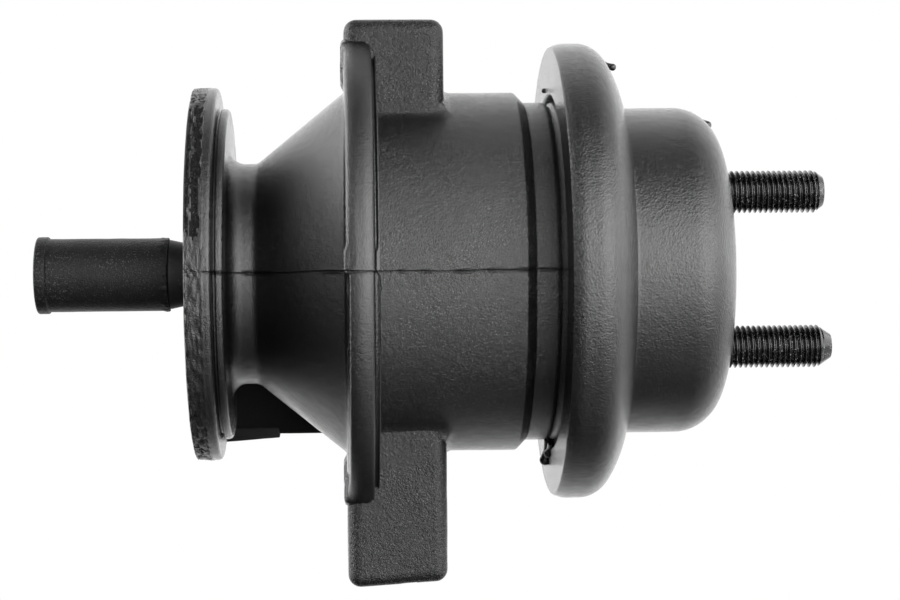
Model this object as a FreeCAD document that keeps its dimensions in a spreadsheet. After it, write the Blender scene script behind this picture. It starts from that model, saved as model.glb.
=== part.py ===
import FreeCAD, Part
import math
import os
import Sketcher

# Fluid-filled engine mount. A cast bracket with two ears and a rear leg holds a rubber spring that is
# moulded on it. A deep-drawn cover with two studs is crimped on the bracket's lower flange and closes
# the fluid chambers; the inner member ends in a sleeved pin.
#
# All lengths are millimetres. The origin is the centre of the cup's flat end face, where the two studs
# leave it; +Z runs along the axis towards the pin, +X towards the short ear, +Y towards the rear leg.

SIZES = [
    # cast bracket
    ("barrel_radius", 41.6, "bracket barrel, outside"),
    ("barrel_start", 48.8, "height where the barrel begins above its rounded shoulder"),
    ("barrel_shoulder_round", 6.0, "rounding of the barrel's lower shoulder"),
    ("neck_radius", 39.3, "bracket neck, outside"),
    ("neck_root_round", 1.2, "fillet between neck and lower flange"),
    ("chamber_radius", 34.0, "bore of the bracket, round the upper fluid chamber"),
    ("throat_height", 66.0, "height where the bore starts to widen"),
    ("mouth_radius", 38.0, "bore of the bracket at its mouth"),
    ("lower_flange_radius", 50.4, "bracket flange under the crimped lip"),
    ("lower_flange_thickness", 2.7, "thickness of that flange"),
    ("upper_flange_radius", 51.6, "bracket flange inside the rubber bead"),
    ("upper_flange_base", 80.6, "underside of the upper flange"),
    ("upper_flange_thickness", 4.3, "upper flange"),
    ("flange_root_round", 1.5, "fillet between barrel and upper flange"),
    ("ear_base", 64.1, "lower face of both ears"),
    ("ear_half_width", 22.5, "half the width of an ear"),
    ("ear_root", 35.9, "distance of the ears' inner edge from the axis"),
    ("short_ear_reach", 56.5, "distance of the short ear's end from the axis"),
    ("long_ear_reach", 70.5, "distance of the long ear's end from the axis"),
    ("ear_corner_round", 2.8, "rounding of the ears' end corners"),
    ("ear_face_round", 1.8, "rounding along the ears' front and rear faces"),
    ("ear_hole_height", 71.7, "height of the tapped holes in the ears"),
    ("short_ear_hole_reach", 49.0, "distance of the short ear's hole from the axis"),
    ("long_ear_hole_reach", 61.0, "distance of the long ear's hole from the axis"),
    ("ear_hole_depth", 20.0, "depth of the tapped holes in the ears"),
    ("tap_drill", 8.8, "diameter of the tapped holes before threading"),
    ("leg_inner_reach", 22.0, "nearer side of the rear leg, along the long ear's direction"),
    ("leg_outer_reach", 40.5, "farther side of the rear leg"),
    ("leg_root_front", 15.0, "front of the leg's root inside the barrel wall"),
    ("leg_front", 40.0, "front face of the rear leg"),
    ("leg_back", 55.0, "rear face of the rear leg"),
    ("leg_top", 120.0, "end of the rear leg"),
    ("boss_start", 103.5, "height where the leg's boss begins"),
    ("boss_step", 1.5, "step from the leg to its boss"),
    ("boss_draft", 1.2, "further growth of the boss up to its end"),
    ("boss_bevel", 4.5, "bevel on the boss's front, measured across the front face"),
    ("boss_bevel_depth", 8.0, "the same bevel, measured down the boss's side"),
    ("leg_round", 2.0, "rounding of the leg's edges"),
    ("boss_hole_height", 111.7, "height of the tapped hole in the boss"),
    ("boss_hole_reach", 32.0, "distance of the boss hole from the axis plane"),
    ("boss_hole_depth", 12.0, "depth of the tapped hole in the boss"),
    # rubber moulding
    ("disc_radius", 43.0, "stopper disc, outside the rubber"),
    ("disc_over_skin", 1.3, "rubber over the stopper plate"),
    ("disc_under_skin", 1.0, "rubber under the stopper plate"),
    ("collar_radius", 38.2, "smaller step under the stopper disc"),
    ("collar_height", 2.4, "height of that step"),
    ("collar_round", 0.8, "rounding of the step's edge"),
    ("disc_edge_round", 0.5, "rounding of the disc's edges"),
    ("disc_opening", 15.0, "radius of the opening in the disc's rubber round the pin"),
    ("waist_radius", 25.5, "rubber waist"),
    ("waist_length", 6.2, "rubber waist, from the cone to the step"),
    ("waist_round", 2.0, "fillet between waist and disc"),
    ("cone_foot_radius", 41.8, "rubber cone where it meets the flange face"),
    ("cone_foot_round", 1.5, "fillet at the foot of the cone"),
    ("cone_height", 20.0, "rubber cone, from the flange face to the waist"),
    ("rim_skin", 1.5, "rubber over the upper flange; its face is level with the ears"),
    ("bead_radius", 56.1, "crest of the rounded rim bead"),
    ("bead_round", 3.0, "rounding radius of the rim bead"),
    ("lip_radius", 46.0, "inner edge of the rubber lip under the flange"),
    ("lip_thickness", 1.3, "rubber lip under the flange"),
    ("skirt_thickness", 1.6, "rubber at that end"),
    ("spring_arch_radius", 31.0, "foot of the rubber arch inside the chamber"),
    ("spring_arch_height", 65.0, "height of that foot"),
    ("skirt_drop", 4.0, "reach of the rubber bonded in the bore below that foot"),
    ("spring_roof_radius", 10.0, "flat top of the arch under the core"),
    ("roof_skin", 2.0, "rubber under the core"),
    ("arch_round", 4.0, "rounding of the arch"),
    # inner member
    ("core_depth", 2.4, "reach of the inner core below the rubber flange face"),
    ("core_base_radius", 8.0, "inner core at its lower end"),
    ("core_cone_drop", 1.4, "end of the core's cone below the waist's start"),
    ("core_radius", 22.5, "inner core inside the waist"),
    ("core_base_round", 2.5, "rounding of the core's lower end"),
    ("plate_thickness", 3.6, "stopper plate"),
    ("plate_radius", 40.5, "stopper plate"),
    ("spigot_radius", 12.0, "core spigot in the stopper plate"),
    ("core_end_thickness", 8.0, "core below the pin's hole"),
    ("pin_core_radius", 7.0, "pin inside the core"),
    ("pin_stand", 1.1, "plain length of the pin between the disc and its taper"),
    ("pin_collar_radius", 8.1, "pin collar under the sleeve"),
    ("pin_taper_length", 5.1, "taper up to the pin collar, where the sleeve sits"),
    ("pin_shank_radius", 6.6, "pin inside its sleeve"),
    ("pin_sink", 0.8, "end of the pin below the sleeve's end"),
    ("pin_chamfer", 1.0, "chamfer at the pin's end"),
    ("sleeve_radius", 8.45, "sleeve, outside"),
    ("sleeve_collar_height", 2.8, "end collar of the sleeve"),
    ("sleeve_length", 27.4, "sleeve, from the pin collar to its end collar"),
    ("sleeve_collar_radius", 8.9, "end collar of the sleeve"),
    ("sleeve_round", 0.4, "rounding of the end collar"),
    # pressed cover
    ("cup_radius", 37.9, "cup, outside"),
    ("cup_corner_round", 10.0, "corner of the cup, outside"),
    ("cover_wall", 2.0, "sheet thickness of the cover"),
    ("shoulder_base", 23.4, "height where the shoulder leaves the cup"),
    ("shoulder_top", 33.0, "height where the shoulder meets the ring"),
    ("shoulder_rim_round", 7.0, "tighter part of the shoulder, next to the ring"),
    ("ring_radius", 52.9, "ring, outside"),
    ("ring_top", 38.9, "crimped end of the ring"),
    ("ring_edge_round", 1.5, "rounding of the crimped edge"),
    ("crimp_bore", 41.0, "bore of the crimped lip"),
    # studs
    ("stud_radius", 5.0, "M10 stud"),
    ("stud_root_radius", 5.4, "pressed root of the stud in plate and cup"),
    ("stud_root_reach", 0.3, "reach of that root beyond the cup's face"),
    ("stud_half_spacing", 18.2, "distance of each stud from the axis"),
    ("stud_plate_radius", 26.5, "backing plate in the cup"),
    ("stud_plate_thickness", 3.0, "backing plate in the cup"),
    ("stud_head_radius", 8.5, "stud head"),
    ("stud_head_height", 4.0, "stud head"),
    ("stud_head_round", 0.8, "rounding of the stud head"),
    ("upper_stud_length", 25.8, "free length of the upper stud"),
    ("upper_tip_length", 2.0, "chamfered tip of the upper stud"),
    ("upper_tip_radius", 3.6, "end of the upper stud's tip"),
    ("lower_stud_length", 27.5, "free length of the lower stud"),
    ("lower_tip_length", 3.2, "conical tip of the lower stud"),
    ("lower_tip_radius", 2.9, "end of the lower stud's tip"),
    # partition between the chambers
    ("partition_top", 34.2, "upper face of the partition, under the bracket flange"),
    ("partition_radius", 47.0, "outer edge of the partition"),
    ("track_sheet", 1.2, "stamped plates of the partition"),
    ("partition_flange_base", 28.8, "underside of the partition's flange"),
    ("hub_radius", 31.5, "hub of the partition"),
    ("hub_base", 24.0, "underside of the hub"),
    ("pocket_radius", 18.0, "membrane pocket"),
    ("pocket_floor", 28.5, "floor of the membrane pocket"),
    ("grille_base", 26.0, "underside of the pocket's floor"),
    ("track_inner_radius", 24.0, "fluid channel, inner wall"),
    ("track_outer_radius", 29.5, "fluid channel, outer wall"),
    ("track_roof", 30.5, "fluid channel, roof"),
    ("track_sweep", 300.0, "angle that the fluid channel covers, degrees"),
    ("port_radius", 2.4, "inlet and outlet of the fluid channel"),
    ("port_angle", 8.0, "angle of the ports from the channel's ends, degrees"),
    ("grille_hole_radius", 2.6, "holes of both grilles"),
    ("grille_circle", 11.0, "radius of the circle of grille holes"),
    ("grille_holes", 6.0, "number of grille holes"),
    ("bottom_plate_bore", 18.5, "bore of the lower plate"),
    ("membrane_clearance", 0.4, "play of the membrane in its pocket"),
    ("membrane_thickness", 3.0, "membrane"),
    ("membrane_web", 1.8, "membrane inside its thick rim"),
    ("membrane_rim", 3.0, "width of the membrane's rim"),
    ("rivet_circle", 21.0, "radius of the circle of rivets"),
    ("rivet_radius", 1.4, "rivet shank"),
    ("rivet_head_radius", 2.4, "rivet heads"),
    ("rivet_head_height", 1.0, "rivet heads"),
    ("seal_inner_radius", 40.2, "seal ring, inside"),
    ("seal_width", 2.6, "seal ring"),
    ("seal_depth", 1.2, "groove of the seal ring"),
    # diaphragm
    ("carrier_inner_radius", 38.6, "ring in the diaphragm's rim, inside"),
    ("carrier_outer_radius", 44.0, "ring in the diaphragm's rim, outside"),
    ("carrier_thickness", 2.1, "ring in the diaphragm's rim"),
    ("diaphragm_wall", 1.5, "diaphragm"),
    ("diaphragm_radius", 35.0, "rolled wall of the diaphragm, outside"),
    ("diaphragm_base", 13.6, "lowest point of the diaphragm"),
    ("diaphragm_roll_radius", 20.0, "inner edge of the roll"),
    ("diaphragm_dome_radius", 12.0, "edge of the raised centre"),
    ("diaphragm_dome", 17.6, "underside of the raised centre"),
    ("diaphragm_round", 2.2, "rounding of the diaphragm's roll"),
]

RIVET_COUNT = 3
TOLERANCE = 1e-4

doc = FreeCAD.newDocument("engine_mount")
sheet = doc.addObject("Spreadsheet::Sheet", "Sizes")


class Dim:
    """A length that carries both its sheet expression and its present value."""

    def __init__(self, text, value):
        self.text = text
        self.value = value

    def _joined(self, sign, other, value):
        return Dim("(" + self.text + " " + sign + " " + other.text + ")", value)

    def __add__(self, other):
        other = as_dim(other)
        return self._joined("+", other, self.value + other.value)

    def __sub__(self, other):
        other = as_dim(other)
        return self._joined("-", other, self.value - other.value)

    def __mul__(self, other):
        other = as_dim(other)
        return self._joined("*", other, self.value * other.value)

    def __truediv__(self, other):
        other = as_dim(other)
        return self._joined("/", other, self.value / other.value)

    def __neg__(self):
        return as_dim(0.0) - self

    def root(self):
        """The square root."""
        return Dim("sqrt(" + self.text + ")", math.sqrt(self.value))


def as_dim(number):
    """A plain number as a Dim; a Dim as it is."""
    if isinstance(number, Dim):
        return number
    return Dim(repr(float(number)), float(number))


class Sizes:
    """The sheet's cells, as attributes."""

    def __init__(self, rows):
        for row, (alias, value, note) in enumerate(rows, start=1):
            sheet.set("A" + str(row), alias)
            sheet.set("B" + str(row), str(value))
            sheet.set("C" + str(row), note)
            sheet.setAlias("B" + str(row), alias)
            setattr(self, alias, Dim("Sizes." + alias, float(value)))


size = Sizes(SIZES)
doc.recompute()


class Levels:
    """Heights that follow from one another, from the bracket's upper flange to the pin's end."""

    def __init__(self):
        self.upper_flange_top = size.upper_flange_base + size.upper_flange_thickness
        self.rim_plane = self.upper_flange_top + size.rim_skin
        self.waist_base = self.rim_plane + size.cone_height
        self.collar_base = self.waist_base + size.waist_length
        self.disc_base = self.collar_base + size.collar_height
        self.plate_seat = self.disc_base + size.disc_under_skin
        self.plate_top = self.plate_seat + size.plate_thickness
        self.disc_top = self.plate_top + size.disc_over_skin
        self.core_base = self.rim_plane - size.core_depth
        self.core_cone_top = self.waist_base - size.core_cone_drop
        self.spring_roof = self.core_base - size.roof_skin
        self.pin_seat = self.core_base + size.core_end_thickness
        self.pin_taper_start = self.disc_top + size.pin_stand
        self.pin_collar_top = self.pin_taper_start + size.pin_taper_length
        self.sleeve_collar_base = self.pin_collar_top + size.sleeve_length
        self.sleeve_top = self.sleeve_collar_base + size.sleeve_collar_height
        self.pin_top = self.sleeve_top - size.pin_sink


level = Levels()

ZERO = as_dim(0.0)


# ---------------------------------------------------------------- sketches and features

def new_body(label):
    """An empty body whose label is the sub-part's name."""
    body = doc.addObject("PartDesign::Body", label)
    body.Label = label
    return body


def origin_plane(body, role):
    """The body's own origin plane with that role."""
    for feature in body.Origin.OriginFeatures:
        if feature.Role == role:
            return feature
    raise ValueError("no plane " + role)


def pin_point(sketch, geometry, vertex, x, y):
    """Bind one vertex of a sketch to a place given by two sizes."""
    for kind, axis, place in (("DistanceX", -2, x), ("DistanceY", -1, y)):
        if place is ZERO:
            sketch.addConstraint(Sketcher.Constraint("PointOnObject", geometry, vertex, axis))
            continue
        index = sketch.addConstraint(Sketcher.Constraint(kind, -1, 1, geometry, vertex, place.value))
        sketch.setExpression("Constraints[" + str(index) + "]", place.text)


def arc_between(start, end, radius, side):
    """An arc of that radius from start to end; side 1 has its centre on the left, -1 on the right."""
    middle = (start + end) * 0.5
    chord = end - start
    left = FreeCAD.Vector(-chord.y, chord.x, 0).normalize()
    rise = math.sqrt(max(radius ** 2 - (chord.Length / 2) ** 2, 0.0))
    centre = middle + left * (rise * side)
    first = math.atan2(start.y - centre.y, start.x - centre.x)
    last = math.atan2(end.y - centre.y, end.x - centre.x)
    if side < 0:
        first, last = last, first
    circle = Part.Circle(centre, FreeCAD.Vector(0, 0, 1), radius)
    return Part.ArcOfCircle(circle, first, last)


def outline(body, name, corners, arcs=None, plane="XZ_Plane", offset=None):
    """A closed sketch through the corners; arcs maps a segment's number to (radius, side)."""
    arcs = arcs or {}
    sketch = body.newObject("Sketcher::SketchObject", name)
    sketch.AttachmentSupport = [(origin_plane(body, plane), "")]
    sketch.MapMode = "FlatFace"
    if offset is not None:
        sketch.setExpression("AttachmentOffset.Base.z", offset.text)
    ends = []
    count = len(corners)
    for index in range(count):
        x, y = corners[index]
        next_x, next_y = corners[(index + 1) % count]
        start = FreeCAD.Vector(x.value, y.value, 0)
        end = FreeCAD.Vector(next_x.value, next_y.value, 0)
        if index not in arcs:
            number = sketch.addGeometry(Part.LineSegment(start, end), False)
            ends.append((number, 1, 2))
            continue
        radius, side = arcs[index]
        number = sketch.addGeometry(arc_between(start, end, radius.value, side), False)
        ends.append((number, 1, 2) if side > 0 else (number, 2, 1))
        bound = sketch.addConstraint(Sketcher.Constraint("Radius", number, radius.value))
        sketch.setExpression("Constraints[" + str(bound) + "]", radius.text)
    for index in range(count):
        number, first, last = ends[index]
        follower, follower_first, follower_last = ends[(index + 1) % count]
        sketch.addConstraint(Sketcher.Constraint("Coincident", number, last, follower, follower_first))
    for index in range(count):
        number, first, last = ends[index]
        pin_point(sketch, number, first, *corners[index])
    return sketch


def circles(body, name, places, radius, plane="XY_Plane", offset=None):
    """A sketch of equal circles at the given places."""
    sketch = body.newObject("Sketcher::SketchObject", name)
    sketch.AttachmentSupport = [(origin_plane(body, plane), "")]
    sketch.MapMode = "FlatFace"
    if offset is not None:
        sketch.setExpression("AttachmentOffset.Base.z", offset.text)
    for x, y in places:
        centre = FreeCAD.Vector(x.value, y.value, 0)
        circle = Part.Circle(centre, FreeCAD.Vector(0, 0, 1), radius.value)
        number = sketch.addGeometry(circle, False)
        bound = sketch.addConstraint(Sketcher.Constraint("Radius", number, radius.value))
        sketch.setExpression("Constraints[" + str(bound) + "]", radius.text)
        pin_point(sketch, number, 3, x, y)
    return sketch


def turned(body, name, sketch):
    """Turn a section once round the body's Z axis."""
    feature = body.newObject("PartDesign::Revolution", name)
    feature.Profile = sketch
    feature.ReferenceAxis = (sketch, ["V_Axis"])
    feature.Angle = 360.0
    return feature


def turned_cut(body, name, sketch, angle=None):
    """Cut a section out of the body, turned once round its Z axis or through the given angle."""
    doc.recompute()
    before = body.Shape.Volume
    feature = body.newObject("PartDesign::Groove", name)
    feature.Profile = sketch
    feature.ReferenceAxis = (sketch, ["V_Axis"])
    feature.Angle = 360.0
    if angle is not None:
        feature.setExpression("Angle", angle.text)
    doc.recompute()
    require_less(body, before, name)
    return feature


def raised(body, name, sketch, length, reverse=False, both_ways=False):
    """Pad a sketch by a length, to one side or evenly to both."""
    feature = body.newObject("PartDesign::Pad", name)
    feature.Profile = sketch
    feature.setExpression("Length", length.text)
    feature.Reversed = reverse
    if both_ways:
        feature.SideType = "Symmetric"
    return feature


def cut_beyond(body, name, sketch):
    """Pocket a sketch through all that stands beyond its plane."""
    doc.recompute()
    before = body.Shape.Volume
    feature = body.newObject("PartDesign::Pocket", name)
    feature.Profile = sketch
    feature.Type = "ThroughAll"
    feature.Reversed = True
    doc.recompute()
    require_less(body, before, name)
    return feature


def cut_through(body, name, sketch, copies=None):
    """Pocket a sketch through the whole body, repeated round the Z axis where copies is given."""
    doc.recompute()
    before = body.Shape.Volume
    feature = body.newObject("PartDesign::Pocket", name)
    feature.Profile = sketch
    feature.Type = "ThroughAll"
    feature.SideType = "Symmetric"
    doc.recompute()
    require_less(body, before, name)
    if copies is not None:
        repeated = body.newObject("PartDesign::PolarPattern", name + "_copies")
        repeated.Originals = [feature]
        repeated.Axis = (sketch, ["N_Axis"])
        repeated.Angle = 360.0
        repeated.setExpression("Occurrences", copies.text)
        body.Tip = repeated
    return feature


def drilled(body, name, sketch, depth):
    """Flat-bottomed tap holes at a sketch's circles."""
    doc.recompute()
    before = body.Shape.Volume
    feature = body.newObject("PartDesign::Hole", name)
    feature.Profile = sketch
    doc.recompute()
    feature.Threaded = False
    feature.DepthType = "Dimension"
    feature.DrillPoint = "Flat"
    feature.setExpression("Diameter", size.tap_drill.text)
    feature.setExpression("Depth", depth.text)
    doc.recompute()
    if body.Shape.Volume > before - 1.0:
        feature.Reversed = True
        doc.recompute()
    require_less(body, before, name)
    return feature


def require_less(body, before, name):
    """Stop when a cut removed nothing."""
    if body.Shape.Volume > before - TOLERANCE:
        raise ValueError(name + " cuts nothing")


def rounded(body, name, radius, wanted):
    """Fillet the edges of the body's tip that the test picks."""
    doc.recompute()
    base = body.Tip
    names = ["Edge" + str(n) for n, edge in enumerate(base.Shape.Edges, start=1) if wanted(edge)]
    if not names:
        raise ValueError(name + " found no edge")
    feature = body.newObject("PartDesign::Fillet", name)
    feature.Base = (base, names)
    feature.setExpression("Radius", radius.text)
    doc.recompute()
    return feature


def ring_edge(radius, height):
    """Test for circular edges round the axis with that radius, at that height."""
    def wanted(edge):
        curve = edge.Curve
        if not isinstance(curve, Part.Circle):
            return False
        off_axis = math.hypot(curve.Center.x, curve.Center.y)
        same_radius = abs(curve.Radius - radius.value) < 0.01
        same_height = abs(curve.Center.z - height.value) < 0.01
        return off_axis < 0.01 and same_radius and same_height
    return wanted


def any_of(*tests):
    """Test that passes where one of the given tests does."""
    def wanted(edge):
        return any(test(edge) for test in tests)
    return wanted


def edge_at(x=None, y=None, apart_from=None):
    """Test for edges that lie in the plane at that x or y, apart from those at another x."""
    def wanted(edge):
        box = edge.BoundBox
        if apart_from is not None and flat_at(box.XMin, box.XMax, apart_from):
            return False
        if x is not None:
            return flat_at(box.XMin, box.XMax, x) and box.YLength > size.ear_half_width.value
        return flat_at(box.YMin, box.YMax, y)
    return wanted


def flat_at(low, high, place):
    """Whether a span shrinks to one place."""
    return abs(low - place.value) < 0.01 and abs(high - place.value) < 0.01


# ---------------------------------------------------------------- bracket

def build_housing():
    """Cast bracket: barrel, two ears and rear leg, with the bore, the seal groove and tapped holes."""
    blanks = [
        build_barrel(),
        build_ear("short_ear", size.ear_root, size.short_ear_reach),
        build_ear("long_ear", -size.ear_root, -size.long_ear_reach),
        build_leg(),
    ]
    casting = doc.addObject("Part::MultiFuse", "casting")
    casting.Shapes = blanks
    doc.recompute()
    body = new_body("housing")
    body.BaseFeature = casting
    bore = outline(body, "bore_section", [
        (ZERO, size.partition_top - 1.0),
        (size.chamber_radius, size.partition_top - 1.0),
        (size.chamber_radius, size.throat_height),
        (size.mouth_radius, level.upper_flange_top),
        (size.mouth_radius, size.leg_top),
        (ZERO, size.leg_top),
    ])
    turned_cut(body, "bore", bore)
    seal_groove = outline(body, "seal_groove_section", ring_corners(
        size.seal_inner_radius, size.seal_inner_radius + size.seal_width,
        size.partition_top, size.partition_top + size.seal_depth))
    turned_cut(body, "seal_groove", seal_groove)
    ear_holes = circles(body, "ear_hole_places", [
        (size.short_ear_hole_reach, size.ear_hole_height),
        (-size.long_ear_hole_reach, size.ear_hole_height),
    ], size.tap_drill / 2, plane="XZ_Plane", offset=-size.ear_half_width)
    drilled(body, "ear_holes", ear_holes, size.ear_hole_depth)
    boss_hole = circles(body, "boss_hole_place", [
        (-size.boss_hole_reach, size.boss_hole_height),
    ], size.tap_drill / 2, plane="XZ_Plane", offset=-size.leg_back)
    drilled(body, "boss_hole", boss_hole, size.boss_hole_depth)
    return body


def build_barrel():
    """The bracket's turned barrel with both flanges, before boring."""
    body = new_body("barrel_blank")
    lower_top = size.partition_top + size.lower_flange_thickness
    round_off = size.barrel_shoulder_round
    inset = round_off - (size.barrel_radius - size.neck_radius)
    neck_end = size.barrel_start - (round_off * round_off - inset * inset).root()
    barrel = outline(body, "barrel_section", [
        (ZERO, size.partition_top),
        (size.lower_flange_radius, size.partition_top),
        (size.lower_flange_radius, lower_top),
        (size.neck_radius, lower_top),
        (size.neck_radius, neck_end),
        (size.barrel_radius, size.barrel_start),
        (size.barrel_radius, size.upper_flange_base),
        (size.upper_flange_radius, size.upper_flange_base),
        (size.upper_flange_radius, level.upper_flange_top),
        (ZERO, level.upper_flange_top),
    ], arcs={4: (round_off, 1)})
    turned(body, "barrel", barrel)
    rounded(body, "neck_root", size.neck_root_round, ring_edge(size.neck_radius, lower_top))
    rounded(body, "flange_root", size.flange_root_round,
            ring_edge(size.barrel_radius, size.upper_flange_base))
    return body


def build_ear(name, root, reach):
    """One ear: a block across the barrel with rounded end corners and face edges."""
    body = new_body(name + "_blank")
    block = outline(body, name + "_section", [
        (root, size.ear_base),
        (reach, size.ear_base),
        (reach, level.rim_plane),
        (root, level.rim_plane),
    ])
    raised(body, name, block, size.ear_half_width * 2, both_ways=True)
    rounded(body, name + "_corners", size.ear_corner_round, edge_at(x=reach))
    rounded(body, name + "_faces", size.ear_face_round, any_of(
        edge_at(y=size.ear_half_width, apart_from=root),
        edge_at(y=-size.ear_half_width, apart_from=root)))
    return body


def build_leg():
    """Rear leg: a root on the barrel and a post that ends in a stepped, drafted and bevelled boss."""
    body = new_body("leg_blank")
    boss_reach = size.leg_outer_reach + size.boss_step
    boss_end_reach = boss_reach + size.boss_draft
    post = outline(body, "leg_section", [
        (-size.leg_inner_reach, size.ear_base),
        (-size.leg_outer_reach, size.ear_base),
        (-size.leg_outer_reach, size.boss_start),
        (-boss_reach, size.boss_start),
        (-boss_end_reach, size.leg_top),
        (-size.leg_inner_reach, size.leg_top),
    ], plane="XZ_Plane", offset=-size.leg_front)
    raised(body, "leg", post, size.leg_back - size.leg_front, reverse=True)
    rounded(body, "leg_faces", size.leg_round, any_of(
        edge_at(y=size.leg_front),
        edge_at(y=size.leg_back)))
    root = outline(body, "leg_root_section", [
        (-size.leg_outer_reach + size.leg_round, size.leg_root_front),
        (-size.leg_inner_reach, size.leg_root_front),
        (-size.leg_inner_reach, size.leg_back - size.leg_round),
        (-size.leg_outer_reach + size.leg_round, size.leg_back - size.leg_round),
    ], plane="XY_Plane", offset=size.ear_base + size.leg_round)
    raised(body, "leg_root", root, level.upper_flange_top - size.ear_base - size.leg_round)
    bevel = outline(body, "boss_bevel_section", [
        (-(boss_end_reach - size.boss_bevel), size.leg_front),
        (-boss_end_reach, size.leg_front + size.boss_bevel_depth),
        (-(boss_end_reach + size.boss_step), size.leg_front - size.boss_step),
    ], plane="XY_Plane", offset=size.boss_start)
    cut_beyond(body, "boss_bevel_cut", bevel)
    return body


def ring_corners(inner, outer, low, high):
    """Corners of a rectangular ring section."""
    return [(inner, low), (outer, low), (outer, high), (inner, high)]


# ---------------------------------------------------------------- rubber

def build_main_rubber(housing):
    """Rubber moulding round the core, the stopper plate and the bracket's flange."""
    body = new_body("rubber_moulding")
    bead_centre = size.bead_radius - size.bead_round
    bead_base = level.rim_plane - size.bead_round * 2
    lip_base = size.upper_flange_base - size.lip_thickness
    skirt_end = size.spring_arch_height - size.skirt_drop
    section = outline(body, "rubber_section", [
        (size.disc_opening, level.plate_top),
        (size.disc_opening, level.disc_top),
        (size.disc_radius, level.disc_top),
        (size.disc_radius, level.disc_base),
        (size.collar_radius, level.disc_base),
        (size.collar_radius, level.collar_base),
        (size.waist_radius, level.collar_base),
        (size.waist_radius, level.waist_base),
        (size.cone_foot_radius, level.rim_plane),
        (bead_centre, level.rim_plane),
        (size.bead_radius, level.rim_plane - size.bead_round),
        (bead_centre, bead_base),
        (bead_centre, lip_base),
        (size.lip_radius, lip_base),
        (size.lip_radius, size.upper_flange_base),
        (size.upper_flange_radius, size.upper_flange_base),
        (size.upper_flange_radius, level.upper_flange_top),
        (size.mouth_radius, level.upper_flange_top),
        (size.chamber_radius, size.throat_height),
        (size.chamber_radius, skirt_end),
        (size.chamber_radius - size.skirt_thickness, skirt_end),
        (size.spring_arch_radius, size.spring_arch_height),
        (size.spring_roof_radius, level.spring_roof),
        (ZERO, level.spring_roof),
        (ZERO, level.core_base),
        (size.core_base_radius, level.core_base),
        (size.core_radius, level.core_cone_top),
        (size.core_radius, level.plate_seat),
        (size.plate_radius, level.plate_seat),
        (size.plate_radius, level.plate_top),
    ], arcs={9: (size.bead_round, -1), 10: (size.bead_round, -1)})
    turned(body, "moulding", section)
    rounded(body, "waist_fillet", size.waist_round, ring_edge(size.waist_radius, level.collar_base))
    rounded(body, "collar_edge", size.collar_round, ring_edge(size.collar_radius, level.collar_base))
    rounded(body, "cone_foot", size.cone_foot_round, ring_edge(size.cone_foot_radius, level.rim_plane))
    rounded(body, "disc_edges", size.disc_edge_round, any_of(
        ring_edge(size.disc_radius, level.disc_top),
        ring_edge(size.disc_radius, level.disc_base)))
    rounded(body, "core_end_seat", size.core_base_round, ring_edge(size.core_base_radius, level.core_base))
    rounded(body, "arch_fillets", size.arch_round, any_of(
        ring_edge(size.spring_arch_radius, size.spring_arch_height),
        ring_edge(size.spring_roof_radius, level.spring_roof)))
    cut = doc.addObject("Part::Cut", "main_rubber")
    cut.Label = "main_rubber"
    cut.Base = body
    cut.Tool = housing
    return cut


# ---------------------------------------------------------------- inner member

def build_inner_core():
    """Metal core: a cone inside the rubber with a spigot for the stopper plate and a blind hole."""
    body = new_body("inner_core")
    section = outline(body, "core_section", [
        (ZERO, level.core_base),
        (size.core_base_radius, level.core_base),
        (size.core_radius, level.core_cone_top),
        (size.core_radius, level.plate_seat),
        (size.spigot_radius, level.plate_seat),
        (size.spigot_radius, level.plate_top),
        (size.pin_core_radius, level.plate_top),
        (size.pin_core_radius, level.pin_seat),
        (ZERO, level.pin_seat),
    ])
    turned(body, "core", section)
    rounded(body, "core_end", size.core_base_round, ring_edge(size.core_base_radius, level.core_base))
    return body


def build_ring(label, inner, outer, low, high):
    """A flat ring of rectangular section."""
    body = new_body(label)
    section = outline(body, label + "_section", ring_corners(inner, outer, low, high))
    turned(body, label + "_ring", section)
    return body


def build_pin():
    """Steel pin: pressed in the core, with a tapered collar that carries the sleeve."""
    body = new_body("pin")
    section = outline(body, "pin_section", [
        (ZERO, level.pin_seat),
        (size.pin_core_radius, level.pin_seat),
        (size.pin_core_radius, level.pin_taper_start),
        (size.pin_collar_radius, level.pin_collar_top),
        (size.pin_shank_radius, level.pin_collar_top),
        (size.pin_shank_radius, level.pin_top - size.pin_chamfer),
        (size.pin_shank_radius - size.pin_chamfer, level.pin_top),
        (ZERO, level.pin_top),
    ])
    turned(body, "pin_shape", section)
    return body


def build_pin_sleeve():
    """Moulded sleeve on the pin, with a thicker collar at its end."""
    body = new_body("pin_sleeve")
    section = outline(body, "sleeve_section", [
        (size.pin_shank_radius, level.pin_collar_top),
        (size.sleeve_radius, level.pin_collar_top),
        (size.sleeve_radius, level.sleeve_collar_base),
        (size.sleeve_collar_radius, level.sleeve_collar_base),
        (size.sleeve_collar_radius, level.sleeve_top),
        (size.pin_shank_radius, level.sleeve_top),
    ])
    turned(body, "sleeve", section)
    rounded(body, "sleeve_edges", size.sleeve_round, ring_edge(size.sleeve_collar_radius, level.sleeve_top))
    return body


# ---------------------------------------------------------------- cover and studs

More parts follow.
